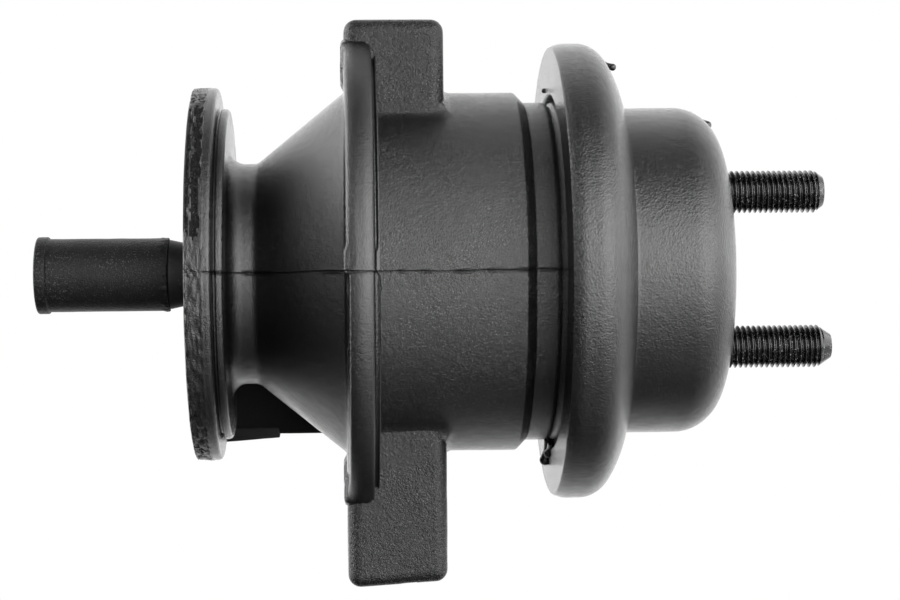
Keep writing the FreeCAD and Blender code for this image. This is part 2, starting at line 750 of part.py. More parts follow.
def shoulder_points(offset):
    """The two-arc shoulder at an offset inside the cover: its ends, its joint and its radii."""
    rise = size.shoulder_top - size.shoulder_base
    width = size.ring_radius - size.cup_radius
    rim = size.shoulder_rim_round
    flat = (rise * rise + width * width - width * rim * 2) / ((rise - rim) * 2)
    rim_x = size.ring_radius - rim
    flat_y = size.shoulder_base + flat
    share = (flat - offset) / (flat - rim)
    joint = (size.cup_radius + (rim_x - size.cup_radius) * share,
             flat_y + (size.shoulder_top - flat_y) * share)
    start = (size.cup_radius, size.shoulder_base + offset)
    end = (size.ring_radius - offset, size.shoulder_top)
    return start, joint, end, flat - offset, rim - offset


def build_bottom_cover():
    """Deep-drawn cover: cup, two-arc shoulder, ring and crimped lip, with two stud holes."""
    body = new_body("bottom_cover")
    wall = size.cover_wall
    inner_cup = size.cup_radius - wall
    lip_under = size.partition_top + size.lower_flange_thickness
    start, joint, end, flat, rim = shoulder_points(ZERO)
    in_start, in_joint, in_end, in_flat, in_rim = shoulder_points(wall)
    section = outline(body, "cover_section", [
        (ZERO, ZERO),
        (size.cup_radius, ZERO),
        start,
        joint,
        end,
        (size.ring_radius, size.ring_top),
        (size.crimp_bore, size.ring_top),
        (size.crimp_bore, lip_under),
        (size.ring_radius - wall, lip_under),
        in_end,
        in_joint,
        in_start,
        (inner_cup, size.shoulder_base + wall),
        (inner_cup, wall),
        (ZERO, wall),
    ], arcs={2: (flat, 1), 3: (rim, 1), 9: (in_rim, -1), 10: (in_flat, -1)})
    turned(body, "drawing", section)
    rounded(body, "cup_corner", size.cup_corner_round, ring_edge(size.cup_radius, ZERO))
    rounded(body, "cup_corner_inside", size.cup_corner_round - wall, ring_edge(inner_cup, wall))
    rounded(body, "ring_edge", size.ring_edge_round, ring_edge(size.ring_radius, size.ring_top))
    holes = circles(body, "stud_hole_places", stud_places(), size.stud_root_radius)
    cut_through_floor(body, holes, wall)
    return body


def stud_places():
    """Both studs, in line with the ears."""
    return [(size.stud_half_spacing, ZERO), (-size.stud_half_spacing, ZERO)]


def cut_through_floor(body, sketch, thickness):
    """Cut the stud holes through a floor of that thickness that starts at the sketch."""
    doc.recompute()
    before = body.Shape.Volume
    feature = body.newObject("PartDesign::Pocket", sketch.Name + "_cut")
    feature.Profile = sketch
    feature.setExpression("Length", thickness.text)
    feature.Reversed = True
    doc.recompute()
    require_less(body, before, sketch.Name)


def build_stud_plate():
    """Backing plate in the cup, under the heads of the studs."""
    body = new_body("stud_plate")
    disc = circles(body, "stud_plate_edge", [(ZERO, ZERO)], size.stud_plate_radius,
                   offset=size.cover_wall)
    raised(body, "stud_plate_disc", disc, size.stud_plate_thickness)
    holes = circles(body, "stud_plate_hole_places", stud_places(), size.stud_root_radius,
                    offset=size.cover_wall)
    cut_through_floor(body, holes, size.stud_plate_thickness)
    return body


def build_stud(label, side, length, tip_length, tip_radius):
    """Headed stud with a pressed root in plate and cup and a conical tip."""
    body = new_body(label)
    seat = size.cover_wall + size.stud_plate_thickness
    section = outline(body, label + "_section", [
        (ZERO, -length),
        (tip_radius, -length),
        (size.stud_radius, tip_length - length),
        (size.stud_radius, -size.stud_root_reach),
        (size.stud_root_radius, -size.stud_root_reach),
        (size.stud_root_radius, seat),
        (size.stud_head_radius, seat),
        (size.stud_head_radius, seat + size.stud_head_height),
        (ZERO, seat + size.stud_head_height),
    ])
    turned(body, label + "_shape", section)
    rounded(body, label + "_head_edge", size.stud_head_round,
            ring_edge(size.stud_head_radius, seat + size.stud_head_height))
    body.setExpression("Placement.Base.x", (size.stud_half_spacing * side).text)
    return body


# ---------------------------------------------------------------- partition

def polar(radius, degrees):
    """A place on a circle round the axis, at an angle given by a Dim in degrees."""
    angle = math.radians(degrees.value)
    x = Dim("(" + radius.text + " * cos(" + degrees.text + "))", radius.value * math.cos(angle))
    y = Dim("(" + radius.text + " * sin(" + degrees.text + "))", radius.value * math.sin(angle))
    return x, y


def cut_round(body, name, places, radius, height, copies=None):
    """Round holes through the body at the given places."""
    sketch = circles(body, name + "_places", places, radius, offset=height)
    return cut_through(body, name, sketch, copies)


def track_middle():
    """Middle radius of the fluid channel."""
    return (size.track_inner_radius + size.track_outer_radius) / 2


def inlet_place():
    """Where the channel starts."""
    return polar(track_middle(), size.port_angle)


def outlet_place():
    """Where the channel ends."""
    return polar(track_middle(), size.track_sweep - size.port_angle)


def add_rivet_holes(body, height):
    """Holes for the rivets, spread evenly round the axis."""
    places = [polar(size.rivet_circle, as_dim(rivet_angle(n))) for n in range(RIVET_COUNT)]
    cut_round(body, "rivet_holes", places, size.rivet_radius, height)


def rivet_angle(number):
    """Angle of a rivet in degrees."""
    return 360.0 / RIVET_COUNT * number + 30.0


def add_grille(body, height):
    """One hole in the middle and a circle of holes round it."""
    cut_round(body, "grille_middle", [(ZERO, ZERO)], size.grille_hole_radius, height)
    cut_round(body, "grille_ring", [(size.grille_circle, ZERO)], size.grille_hole_radius, height,
              copies=size.grille_holes)


def build_track_top_plate():
    """Stamped plate over the partition, with grille and inlet."""
    body = new_body("track_top_plate")
    low = size.partition_top - size.track_sheet
    section = outline(body, "top_plate_section", [
        (ZERO, low),
        (size.partition_radius, low),
        (size.partition_radius, size.partition_top),
        (ZERO, size.partition_top),
    ])
    turned(body, "top_plate", section)
    cut_round(body, "inlet", [inlet_place()], size.port_radius, low)
    add_rivet_holes(body, low)
    add_grille(body, low)
    return body


def build_track_body():
    """Die-cast partition: membrane pocket over a grille floor and a fluid channel open below."""
    body = new_body("track_body")
    high = size.partition_top - size.track_sheet
    section = outline(body, "track_body_section", [
        (ZERO, size.grille_base),
        (size.pocket_radius, size.grille_base),
        (size.pocket_radius, size.hub_base),
        (size.hub_radius, size.hub_base),
        (size.hub_radius, size.partition_flange_base),
        (size.partition_radius, size.partition_flange_base),
        (size.partition_radius, high),
        (size.pocket_radius, high),
        (size.pocket_radius, size.pocket_floor),
        (ZERO, size.pocket_floor),
    ])
    turned(body, "track_casting", section)
    channel = outline(body, "channel_section", ring_corners(
        size.track_inner_radius, size.track_outer_radius, size.hub_base, size.track_roof))
    turned_cut(body, "channel", channel, size.track_sweep)
    inlet = circles(body, "inlet_place", [inlet_place()], size.port_radius, offset=size.hub_base)
    cut_through(body, "inlet", inlet)
    add_rivet_holes(body, size.hub_base)
    add_grille(body, size.hub_base)
    return body


def build_track_bottom_plate():
    """Stamped ring that closes the channel from below, with the outlet."""
    low = size.hub_base - size.track_sheet
    body = build_ring("track_bottom_plate", size.bottom_plate_bore, size.hub_radius, low, size.hub_base)
    cut_round(body, "outlet", [outlet_place()], size.port_radius, low)
    add_rivet_holes(body, low)
    return body


def build_membrane():
    """Loose rubber disc with a thicker rim, in the partition's pocket."""
    body = new_body("membrane")
    low = size.pocket_floor + size.membrane_clearance / 2
    high = low + size.membrane_thickness
    recess = (size.membrane_thickness - size.membrane_web) / 2
    outer = size.pocket_radius - size.membrane_clearance
    rim = outer - size.membrane_rim
    section = outline(body, "membrane_section", [
        (ZERO, low + recess),
        (rim, low + recess),
        (rim, low),
        (outer, low),
        (outer, high),
        (rim, high),
        (rim, high - recess),
        (ZERO, high - recess),
    ])
    turned(body, "membrane_disc", section)
    return body


def build_track_rivet(number):
    """One rivet through the three pieces of the partition."""
    label = "track_rivet_" + str(number + 1)
    body = new_body(label)
    low = size.hub_base - size.track_sheet
    high = size.partition_top
    section = outline(body, label + "_section", [
        (ZERO, low - size.rivet_head_height),
        (size.rivet_head_radius, low - size.rivet_head_height),
        (size.rivet_head_radius, low),
        (size.rivet_radius, low),
        (size.rivet_radius, high),
        (size.rivet_head_radius, high),
        (size.rivet_head_radius, high + size.rivet_head_height),
        (ZERO, high + size.rivet_head_height),
    ])
    turned(body, label + "_shape", section)
    x, y = polar(size.rivet_circle, as_dim(rivet_angle(number)))
    body.setExpression("Placement.Base.x", x.text)
    body.setExpression("Placement.Base.y", y.text)
    return body


def build_diaphragm():
    """Thin rolled rubber wall that closes the lower chamber."""
    body = new_body("diaphragm")
    wall = size.diaphragm_wall
    rim_low = size.partition_flange_base - size.carrier_thickness
    section = outline(body, "diaphragm_section", [
        (size.carrier_inner_radius, rim_low),
        (size.carrier_inner_radius, size.partition_flange_base),
        (size.diaphragm_radius - wall, size.partition_flange_base),
        (size.diaphragm_radius - wall, size.diaphragm_base + wall),
        (size.diaphragm_roll_radius, size.diaphragm_base + wall),
        (size.diaphragm_dome_radius, size.diaphragm_dome + wall),
        (ZERO, size.diaphragm_dome + wall),
        (ZERO, size.diaphragm_dome),
        (size.diaphragm_dome_radius, size.diaphragm_dome),
        (size.diaphragm_roll_radius, size.diaphragm_base),
        (size.diaphragm_radius, size.diaphragm_base),
        (size.diaphragm_radius, rim_low),
    ])
    turned(body, "diaphragm_wall", section)
    rounded(body, "diaphragm_roll", size.diaphragm_round, ring_edge(size.diaphragm_radius, size.diaphragm_base))
    return body


# ---------------------------------------------------------------- assembly and export

def build_all():
    """Every sub-part of the mount."""
    housing = build_housing()
    seal_outer = size.seal_inner_radius + size.seal_width
    carrier_low = size.partition_flange_base - size.carrier_thickness
    parts = [
        housing,
        build_main_rubber(housing),
        build_inner_core(),
        build_ring("stopper_plate", size.spigot_radius, size.plate_radius, level.plate_seat,
                   level.plate_top),
        build_pin(),
        build_pin_sleeve(),
        build_bottom_cover(),
        build_stud_plate(),
        build_stud("stud_upper", 1, size.upper_stud_length, size.upper_tip_length, size.upper_tip_radius),
        build_stud("stud_lower", -1, size.lower_stud_length, size.lower_tip_length, size.lower_tip_radius),
        build_track_top_plate(),
        build_track_body(),
        build_track_bottom_plate(),
        build_membrane(),
        build_ring("seal_ring", size.seal_inner_radius, seal_outer, size.partition_top,
                   size.partition_top + size.seal_depth),
        build_diaphragm(),
        build_ring("diaphragm_ring", size.carrier_inner_radius, size.carrier_outer_radius,
                   carrier_low, size.partition_flange_base),
    ]
    parts += [build_track_rivet(number) for number in range(RIVET_COUNT)]
    return parts


def check_document():
    """Stop when any object of the document failed."""
    for thing in doc.Objects:
        if "Invalid" in thing.State or "Error" in thing.State:
            raise ValueError(thing.Name + " failed: " + str(thing.State))


def export(parts):
    """Write each sub-part's shape to a STEP file named after it."""
    os.makedirs("parts", exist_ok=True)
    for part in parts:
        shape = part.Shape
        if shape.isNull() or not shape.isValid() or not shape.Solids:
            raise ValueError(part.Label + " has no valid solid")
        if len(shape.Solids) != 1:
            raise ValueError(part.Label + " has " + str(len(shape.Solids)) + " solids")
        shape.exportStep("parts/" + part.Label + ".step")
        box = shape.BoundBox
        print(part.Label, round(shape.Volume), [round(v, 2) for v in (
            box.XMin, box.XMax, box.YMin, box.YMax, box.ZMin, box.ZMax)])


all_parts = build_all()
doc.recompute()
check_document()
export(all_parts)
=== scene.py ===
"""Visual model of a fluid-filled engine mount, dressed round its CAD frame.

The frame's own axes hold throughout: +Z runs along the mount from the studs to the pin, +X towards
the short ear and +Y towards the rear leg. Sizes in the classes below are millimetres and angles are
degrees; every mesh is made in metres.
"""

import logging
import math
from dataclasses import dataclass
from enum import Enum
from typing import Callable, Iterable, Mapping, Optional, Sequence

import bmesh
import bpy
import numpy as np
from mathutils import Matrix, Vector


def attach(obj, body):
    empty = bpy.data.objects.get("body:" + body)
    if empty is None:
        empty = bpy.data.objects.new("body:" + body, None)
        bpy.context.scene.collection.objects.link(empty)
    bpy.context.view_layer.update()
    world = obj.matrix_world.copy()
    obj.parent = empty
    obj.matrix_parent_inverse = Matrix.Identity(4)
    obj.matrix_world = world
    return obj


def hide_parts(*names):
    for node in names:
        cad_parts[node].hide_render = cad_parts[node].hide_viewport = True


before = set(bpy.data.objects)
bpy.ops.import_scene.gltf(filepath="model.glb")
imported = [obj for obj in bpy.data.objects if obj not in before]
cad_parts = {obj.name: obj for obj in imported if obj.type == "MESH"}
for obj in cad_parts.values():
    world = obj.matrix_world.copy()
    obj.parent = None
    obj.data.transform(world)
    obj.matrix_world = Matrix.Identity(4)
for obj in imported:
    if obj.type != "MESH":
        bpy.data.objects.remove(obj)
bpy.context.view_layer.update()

LOG = logging.getLogger("engine_mount")
MM = 0.001
FULL_TURN = 2 * math.pi
FRONT = -90.0
BACK = 90.0
DULL = "dull"

SAME_PLACE = 1e-4
ON_AXIS = 1e-6
LEAST_LENGTH = 1e-9
WELD = 1e-7
WELD_EDGE = 1e-8

CELL_PRIMES = (73856093, 19349663, 83492791)
SEED_PRIME = 2654435761
MIX_STEPS = ((15, 2246822519), (13, 3266489917), (16, 1))
WORD = 0xFFFFFFFF
LAYER_SEED = 17

# How far each place of a surface moves outwards.
Field = Callable[["Surface"], np.ndarray]
# A value for each place.
Mask = Callable[[np.ndarray], np.ndarray]
# Corner places and the faces between them.
Skin = tuple[np.ndarray, np.ndarray]
# A section's corner: radius, height, rounding and longest stretch up to it, 0 for the usual one.
Row = tuple[float, float, float, float]
Sockets = Mapping[str, bpy.types.NodeSocket]
LayOut = Callable[["Sketch", Sockets], bpy.types.NodeSocket]


# ---------------------------------------------------------------- numbers

def smooth_ramp(value: np.ndarray, low: float, high: float) -> np.ndarray:
    """Rise smoothly from 0 at low to 1 at high.

    Args:
        value: numbers to map.
        low: where the rise starts; it may lie above high.
        high: where the rise ends.

    Returns:
        Values from 0 to 1.
    """
    share = np.clip((value - low) / (high - low), 0.0, 1.0)
    return share * share * (3.0 - 2.0 * share)


def bell(value: np.ndarray, width: float) -> np.ndarray:
    """A bell curve of height 1 round 0."""
    return np.exp(-(value / width) ** 2)


def turn_back(degrees: np.ndarray) -> np.ndarray:
    """Angles brought into the range from -180 to 180."""
    return (degrees + 180.0) % 360.0 - 180.0


def lattice(cells: np.ndarray, seed: int) -> np.ndarray:
    """A fixed random number for each cell.

    Args:
        cells: whole-number places, one row each.
        seed: picks the pattern.

    Returns:
        Values from -1 to 1.
    """
    first, second, third = CELL_PRIMES
    mixed = cells[..., 0] * first ^ cells[..., 1] * second ^ cells[..., 2] * third
    mixed = (mixed ^ (seed * SEED_PRIME)) & WORD
    for shift, factor in MIX_STEPS:
        mixed = (mixed ^ (mixed >> shift)) * factor & WORD
    return mixed.astype(np.float64) / (WORD / 2) - 1.0


def noise(points: np.ndarray, size: float, seed: int, octaves: int = 1) -> np.ndarray:
    """Smooth noise in space.

    Args:
        points: places in millimetres, one row each.
        size: width of the largest features in millimetres.
        seed: picks the pattern.
        octaves: how many layers are added, each half as wide and high as the one before.

    Returns:
        One value for each place, roughly from -1 to 1.
    """
    total = np.zeros(len(points))
    height = 1.0
    for layer in range(octaves):
        scaled = points / size * 2 ** layer
        cell = np.floor(scaled).astype(np.int64)
        inside = scaled - cell
        weight = inside * inside * (3.0 - 2.0 * inside)
        value = np.zeros(len(points))
        for corner in range(8):
            step = np.array([corner & 1, corner >> 1 & 1, corner >> 2 & 1])
            share = np.prod(np.where(step, weight, 1.0 - weight), axis=1)
            value += share * lattice(cell + step, seed + layer * LAYER_SEED)
        total += value * height
        height *= 0.5
    return total


@dataclass(frozen=True)
class Waves:
    """Noise of one size and height."""

    size: float
    height: float
    seed: int
    octaves: int = 2

    def at(self, points: np.ndarray) -> np.ndarray:
        """Height of the waves at each place."""
        return noise(points, self.size, self.seed, self.octaves) * self.height


def quarter_turn(steps: int, first: int = 0) -> list[tuple[float, float]]:
    """Sine and cosine of even steps through a quarter turn.

    Args:
        steps: into how many the quarter turn is divided.
        first: number of the first step that is wanted.

    Returns:
        Pairs of sine and cosine.
    """
    turns = [math.radians(90.0 * number / steps) for number in range(first, steps + 1)]
    return [(math.sin(turn), math.cos(turn)) for turn in turns]


# ---------------------------------------------------------------- profiles and surfaces

@dataclass
class Surface:
    """Places on a surface before it is displaced."""

    points: np.ndarray
    normals: np.ndarray
    radius: np.ndarray
    angle: np.ndarray

    @property
    def height(self) -> np.ndarray:
        """Height along the mount's axis."""
        return self.points[:, 2]

    def along(self, degrees: float, drift: np.ndarray | float = 0.0) -> np.ndarray:
        """Signed distance round the axis from a line at that angle, less the line's drift."""
        return np.radians(turn_back(self.angle - degrees)) * np.maximum(self.radius, 1.0) - drift


class Profile:
    """A section outline of lines and arcs, drawn anticlockwise: its outside is on the right."""

    ARC_DEGREES = 5.0
    ARC_PARTS = 3
    CORNER_STEP = 0.5
    CORNER_PARTS = 4

    def __init__(self, step: float = 0.7) -> None:
        """Start an empty outline.

        Args:
            step: longest straight stretch between two of its points.
        """
        self.step = step
        self._items: list[Row] = []

    def to(self, radius: float, height: float, round_by: float = 0.0,
           step: float = 0.0) -> "Profile":
        """Add a corner.

        Args:
            radius: distance of the corner from the axis.
            height: its height.
            round_by: radius of its rounding.
            step: longest stretch up to this corner, where it differs from the outline's own.

        Returns:
            The outline itself.
        """
        self._items.append((radius, height, round_by, step or self.step))
        return self

    def trace(self, rows: Iterable[Row]) -> "Profile":
        """Add a corner for each row.

        Args:
            rows: the corners.

        Returns:
            The outline itself.
        """
        for row in rows:
            self.to(*row)
        return self

    def arc(self, centre: tuple[float, float], radius: float, start: float,
            end: float) -> "Profile":
        """Add an arc.

        Args:
            centre: radius and height of its centre.
            radius: its own radius.
            start: angle at which it starts.
            end: angle at which it ends.

        Returns:
            The outline itself.
        """
        sweep = abs(end - start)
        count = max(self.ARC_PARTS, math.ceil(sweep / self.ARC_DEGREES),
                    math.ceil(math.radians(sweep) * radius / self.step))
        for number in range(count + 1):
            turn = math.radians(start + (end - start) * number / count)
            self.to(centre[0] + radius * math.cos(turn), centre[1] + radius * math.sin(turn))
        return self

    def points(self, closed: bool) -> np.ndarray:
        """Round the corners and divide the long stretches.

        Args:
            closed: whether the outline's end joins its start.

        Returns:
            Radius and height of each point.
        """
        rounded = self._rounded(closed)
        total = len(rounded)
        dense: list[np.ndarray] = []
        for index in range(total if closed else total - 1):
            start = rounded[index][0]
            end, step = rounded[(index + 1) % total]
            parts = max(1, math.ceil(np.linalg.norm(end - start) / step))
            dense += [start + (end - start) * part / parts for part in range(parts)]
        if not closed:
            dense.append(rounded[-1][0])
        kept = [dense[0]]
        for point in dense[1:]:
            if np.linalg.norm(point - kept[-1]) > SAME_PLACE:
                kept.append(point)
        if closed and np.linalg.norm(kept[0] - kept[-1]) < SAME_PLACE:
            kept.pop()
        return np.array(kept)

    def _rounded(self, closed: bool) -> list[tuple[np.ndarray, float]]:
        """Put arcs in place of the rounded corners.

        Args:
            closed: whether the outline's end joins its start.

        Returns:
            Each point with the longest stretch up to it.
        """
        corners = [np.array(item[:2]) for item in self._items]
        count = len(corners)
        rounded: list[tuple[np.ndarray, float]] = []
        for index, (_, _, round_by, step) in enumerate(self._items):
            inner = closed or 0 < index < count - 1
            if round_by <= 0.0 or not inner:
                rounded.append((corners[index], step))
                continue
            after = corners[(index + 1) % count]
            arc = self._corner(corners[index - 1], corners[index], after, round_by)
            rounded += [(point, step) for point in arc]
        return rounded

    def _corner(self, before: np.ndarray, here: np.ndarray, after: np.ndarray,
                radius: float) -> list[np.ndarray]:
        """Round one corner.

        Args:
            before: the corner before it.
            here: the corner.
            after: the corner after it.
            radius: radius of the rounding.

        Returns:
            Points of the arc.
        """
        to_before = (before - here) / np.linalg.norm(before - here)
        to_after = (after - here) / np.linalg.norm(after - here)
        opening = math.acos(max(-1.0, min(1.0, float(to_before @ to_after))))
        reach = radius / math.tan(opening / 2)
        start = here + to_before * reach
        end = here + to_after * reach
        middle = to_before + to_after
        centre = here + middle / np.linalg.norm(middle) * (radius / math.sin(opening / 2))
        first = math.atan2(*(start - centre)[::-1])
        sweep = math.atan2(*(end - centre)[::-1]) - first
        sweep = (sweep + math.pi) % FULL_TURN - math.pi
        parts = max(self.CORNER_PARTS, math.ceil(abs(sweep) * radius / self.CORNER_STEP))
        turns = [first + sweep * part / parts for part in range(parts + 1)]
        return [centre + radius * np.array([math.cos(turn), math.sin(turn)]) for turn in turns]


def columns(count: int, finer: Iterable[tuple[float, float, int]] = ()) -> np.ndarray:
    """Angles of a lathe's columns, even but for closer ones round some angles.

    Args:
        count: number of even columns.
        finer: for each close group its middle, its half width and its number of columns.

    Returns:
        The angles, sorted.
    """
    angles = np.arange(count) * 360.0 / count - 180.0
    for middle, half, number in finer:
        angles = angles[np.abs(turn_back(angles - middle)) > half]
        angles = np.append(angles, turn_back(middle + np.linspace(-half, half, number)))
    return np.sort(angles)


def grid_faces(rows: int, around: int, closed: bool) -> np.ndarray:
    """Four-cornered faces between rings of equally many places.

    Args:
        rows: number of rings.
        around: places in each ring.
        closed: whether the last ring joins the first.

    Returns:
        Numbers of each face's corners.
    """
    row = np.arange(rows if closed else rows - 1)[:, None]
    above = (row + 1) % rows
    column = np.arange(around)
    side = np.roll(column, -1)
    corners = [row * around + column, row * around + side,
               above * around + side, above * around + column]
    return np.stack(corners, axis=-1).reshape(-1, 4)


def lathe(profile: np.ndarray, angles: np.ndarray, closed: bool, field: Optional[Field] = None,
          centre: tuple[float, float] = (0.0, 0.0)) -> Skin:
    """Turn a section round the axis.

    Args:
        profile: radius and height of the section's points.
        angles: the columns' angles.
        closed: whether the section is a closed loop; an open one has both ends on the axis.
        field: how far each place moves outwards.
        centre: x and y of the axis.

    Returns:
        Corner places and four-cornered faces.
    """
    rows, around = len(profile), len(angles)
    ahead = np.roll(profile, -1, axis=0) if closed else np.vstack([profile[1:], profile[-1:]])
    behind = np.roll(profile, 1, axis=0) if closed else np.vstack([profile[:1], profile[:-1]])
    run = ahead - behind
    run /= np.maximum(np.linalg.norm(run, axis=1, keepdims=True), LEAST_LENGTH)
    radius, height = np.repeat(profile, around, axis=0).T
    cosine, sine = (np.tile(part(np.radians(angles)), rows) for part in (np.cos, np.sin))
    points = np.stack([radius * cosine, radius * sine, height], axis=1)
    up, out = np.repeat(run, around, axis=0).T
    normals = np.stack([out * cosine, out * sine, -up], axis=1)
    if field is not None:
        surface = Surface(points, normals, radius, np.tile(angles, rows))
        points = points + normals * field(surface)[:, None]
    points[radius < ON_AXIS, :2] = 0.0
    points[:, :2] += np.array(centre)
    return points, grid_faces(rows, around, closed)


def loft(rings: Sequence[np.ndarray]) -> Skin:
    """Join rings of equally many places into a skin, whose end rings are single places.

    Args:
        rings: places of each ring.

    Returns:
        Corner places and four-cornered faces.
    """
    return np.vstack(rings), grid_faces(len(rings), len(rings[0]), False)


def even_turns(count: int) -> np.ndarray:
    """That many even angles round a circle, in radians."""
    return (np.arange(count) + 0.5) / count * FULL_TURN - math.pi


def even_ring(outline: np.ndarray, middle: Sequence[float], count: int) -> np.ndarray:
    """Places of a flat outline at even angles round a place inside it.

    Args:
        outline: its points.
        middle: the place inside.
        count: how many places are wanted.

    Returns:
        The places, one row each.
    """
    angle = np.arctan2(outline[:, 1] - middle[1], outline[:, 0] - middle[0])
    order = np.argsort(angle)
    angle, outline = angle[order], outline[order]
    loop = np.concatenate([angle - FULL_TURN, angle, angle + FULL_TURN])
    wanted = even_turns(count)
    return np.stack([np.interp(wanted, loop, np.tile(part, 3)) for part in outline.T], axis=1)


@dataclass
class Shell:
    """A closed skin with its finish."""

    points: np.ndarray
    faces: np.ndarray
    finish: int = 0
    patch: Optional[Mask] = None

    def finishes(self) -> np.ndarray:
        """Number each face's finish; faces inside the patch take the next one.

        Returns:
            A number for each face.
        """
        numbers = np.full(len(self.faces), self.finish)
        if self.patch is not None:
            numbers += self.patch(self.points[self.faces].mean(axis=1)) > 0.5
        return numbers


def make_piece(name: str, shells: Sequence[Shell], materials: Sequence[bpy.types.Material],
               replaced: Sequence[str], dull: Optional[Mask] = None) -> None:
    """Make one finished piece from closed shells.

    Args:
        name: name of the piece.
        shells: its skins; each names its finish by its number in materials.
        materials: the piece's finishes.
        replaced: CAD nodes that it stands for.
        dull: how dull the skin is at places in millimetres, from 0 to 1.
    """
    work = bmesh.new()
    for shell in shells:
        corners = [work.verts.new(point) for point in shell.points * MM]
        for face, finish in zip(shell.faces, shell.finishes()):
            unique = list(dict.fromkeys(int(number) for number in face))
            made = work.faces.new([corners[number] for number in unique])
            made.material_index = int(finish)
    bmesh.ops.remove_doubles(work, verts=work.verts, dist=WELD)
    bmesh.ops.dissolve_degenerate(work, edges=work.edges, dist=WELD_EDGE)
    bmesh.ops.recalc_face_normals(work, faces=work.faces)
    mesh = bpy.data.meshes.new(name)
    work.to_mesh(mesh)
    work.free()
    mesh.shade_smooth()
    places = np.empty(len(mesh.vertices) * 3)
    mesh.vertices.foreach_get("co", places)
    mask = dull(places.reshape(-1, 3) / MM) if dull else np.zeros(len(mesh.vertices))
    attribute = mesh.attributes.new(DULL, "FLOAT", "POINT")
    attribute.data.foreach_set("value", mask.astype(np.float32))
    dress_object(name, mesh, materials, replaced)


def dress_object(name: str, mesh: bpy.types.Mesh, materials: Sequence[bpy.types.Material],
                 replaced: Sequence[str]) -> None:
    """Args:
        name: name of the piece.
        mesh: its mesh.
        materials: its finishes in the order of the faces' numbers.
        replaced: CAD nodes that it stands for.
    """
    piece = bpy.data.objects.new(name, mesh)
    for number, material in enumerate(materials):
        if number < len(mesh.materials):
            mesh.materials[number] = material
        else:
            mesh.materials.append(material)
    bpy.context.scene.collection.objects.link(piece)
    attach(piece, "root")
    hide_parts(*replaced)
    LOG.info("%s: %d faces", name, len(mesh.polygons))


# ---------------------------------------------------------------- finishes

class Texture(Enum):
    """How a surface was made, which sets its relief."""

    CAST = "cast"
    COATED = "coated"
    MOULDED = "moulded"
    FINE = "fine"
    ROLLED = "rolled"


class Sketch:
    """Short calls for building one node tree."""

    def __init__(self, tree: bpy.types.NodeTree) -> None:
        """Work on that tree."""
        self.tree = tree

    def node(self, kind: str, **settings: object) -> bpy.types.Node:
        """Add a node.

        Args:
            kind: its type.
            settings: its properties by name.

        Returns:
            The new node.
        """
        made = self.tree.nodes.new(kind)
        for name, value in settings.items():
            setattr(made, name, value)
        return made

    def join(self, source: bpy.types.NodeSocket, target: bpy.types.NodeSocket) -> None:
        """Link two sockets."""
        self.tree.links.new(source, target)

    def feed(self, socket: bpy.types.NodeSocket, value: object) -> None:
        """Link a socket where the value is one, or else set it.

        Args:
            socket: the input.
            value: another socket or a plain value.
        """
        if isinstance(value, bpy.types.NodeSocket):
            self.join(value, socket)
        else:
            socket.default_value = value

    def math(self, operation: str, *values: object, clamp: bool = False) -> bpy.types.NodeSocket:
        """Add a Math node.

        Args:
            operation: what it does.
            values: sockets or numbers for its inputs, in order.
            clamp: whether its result stays between 0 and 1.

        Returns:
            Its result.
        """
        made = self.node("ShaderNodeMath", operation=operation, use_clamp=clamp)
        for socket, value in zip(made.inputs, values):
            self.feed(socket, value)
        return made.outputs[0]

    def product(self, *values: object) -> bpy.types.NodeSocket:
        """Multiply values from the first to the last.

        Args:
            values: two or more sockets or numbers.

        Returns:
            Their product.
        """
        result = values[0]
        for value in values[1:]:
            result = self.math("MULTIPLY", result, value)
        return result

    def noise(self, vector: object, scale: object, detail: float,
              rough: float = 0.5) -> bpy.types.NodeSocket:
        """Add a noise texture.

        Args:
            vector: the coordinates.
            scale: its scale, as a socket or a number.
            detail: how many finer layers it has.
            rough: how strong these are.

        Returns:
            Its value.
        """
        made = self.node("ShaderNodeTexNoise")
        for name, value in (("Vector", vector), ("Scale", scale), ("Detail", detail),
                            ("Roughness", rough)):
            self.feed(made.inputs[name], value)
        return made.outputs["Fac"]

    def spread(self, value: object, source: tuple[float, float],
               target: tuple[float, float] = (0.0, 1.0)) -> bpy.types.NodeSocket:
        """Add a clamped Map Range node.

        Args:
            value: what it maps.
            source: the range that it maps from.
            target: the range that it maps to.

        Returns:
            Its result.
        """
        made = self.node("ShaderNodeMapRange", clamp=True)
        self.feed(made.inputs["Value"], value)
        for name, number in zip(("From Min", "From Max", "To Min", "To Max"), source + target):
            made.inputs[name].default_value = number
        return made.outputs["Result"]


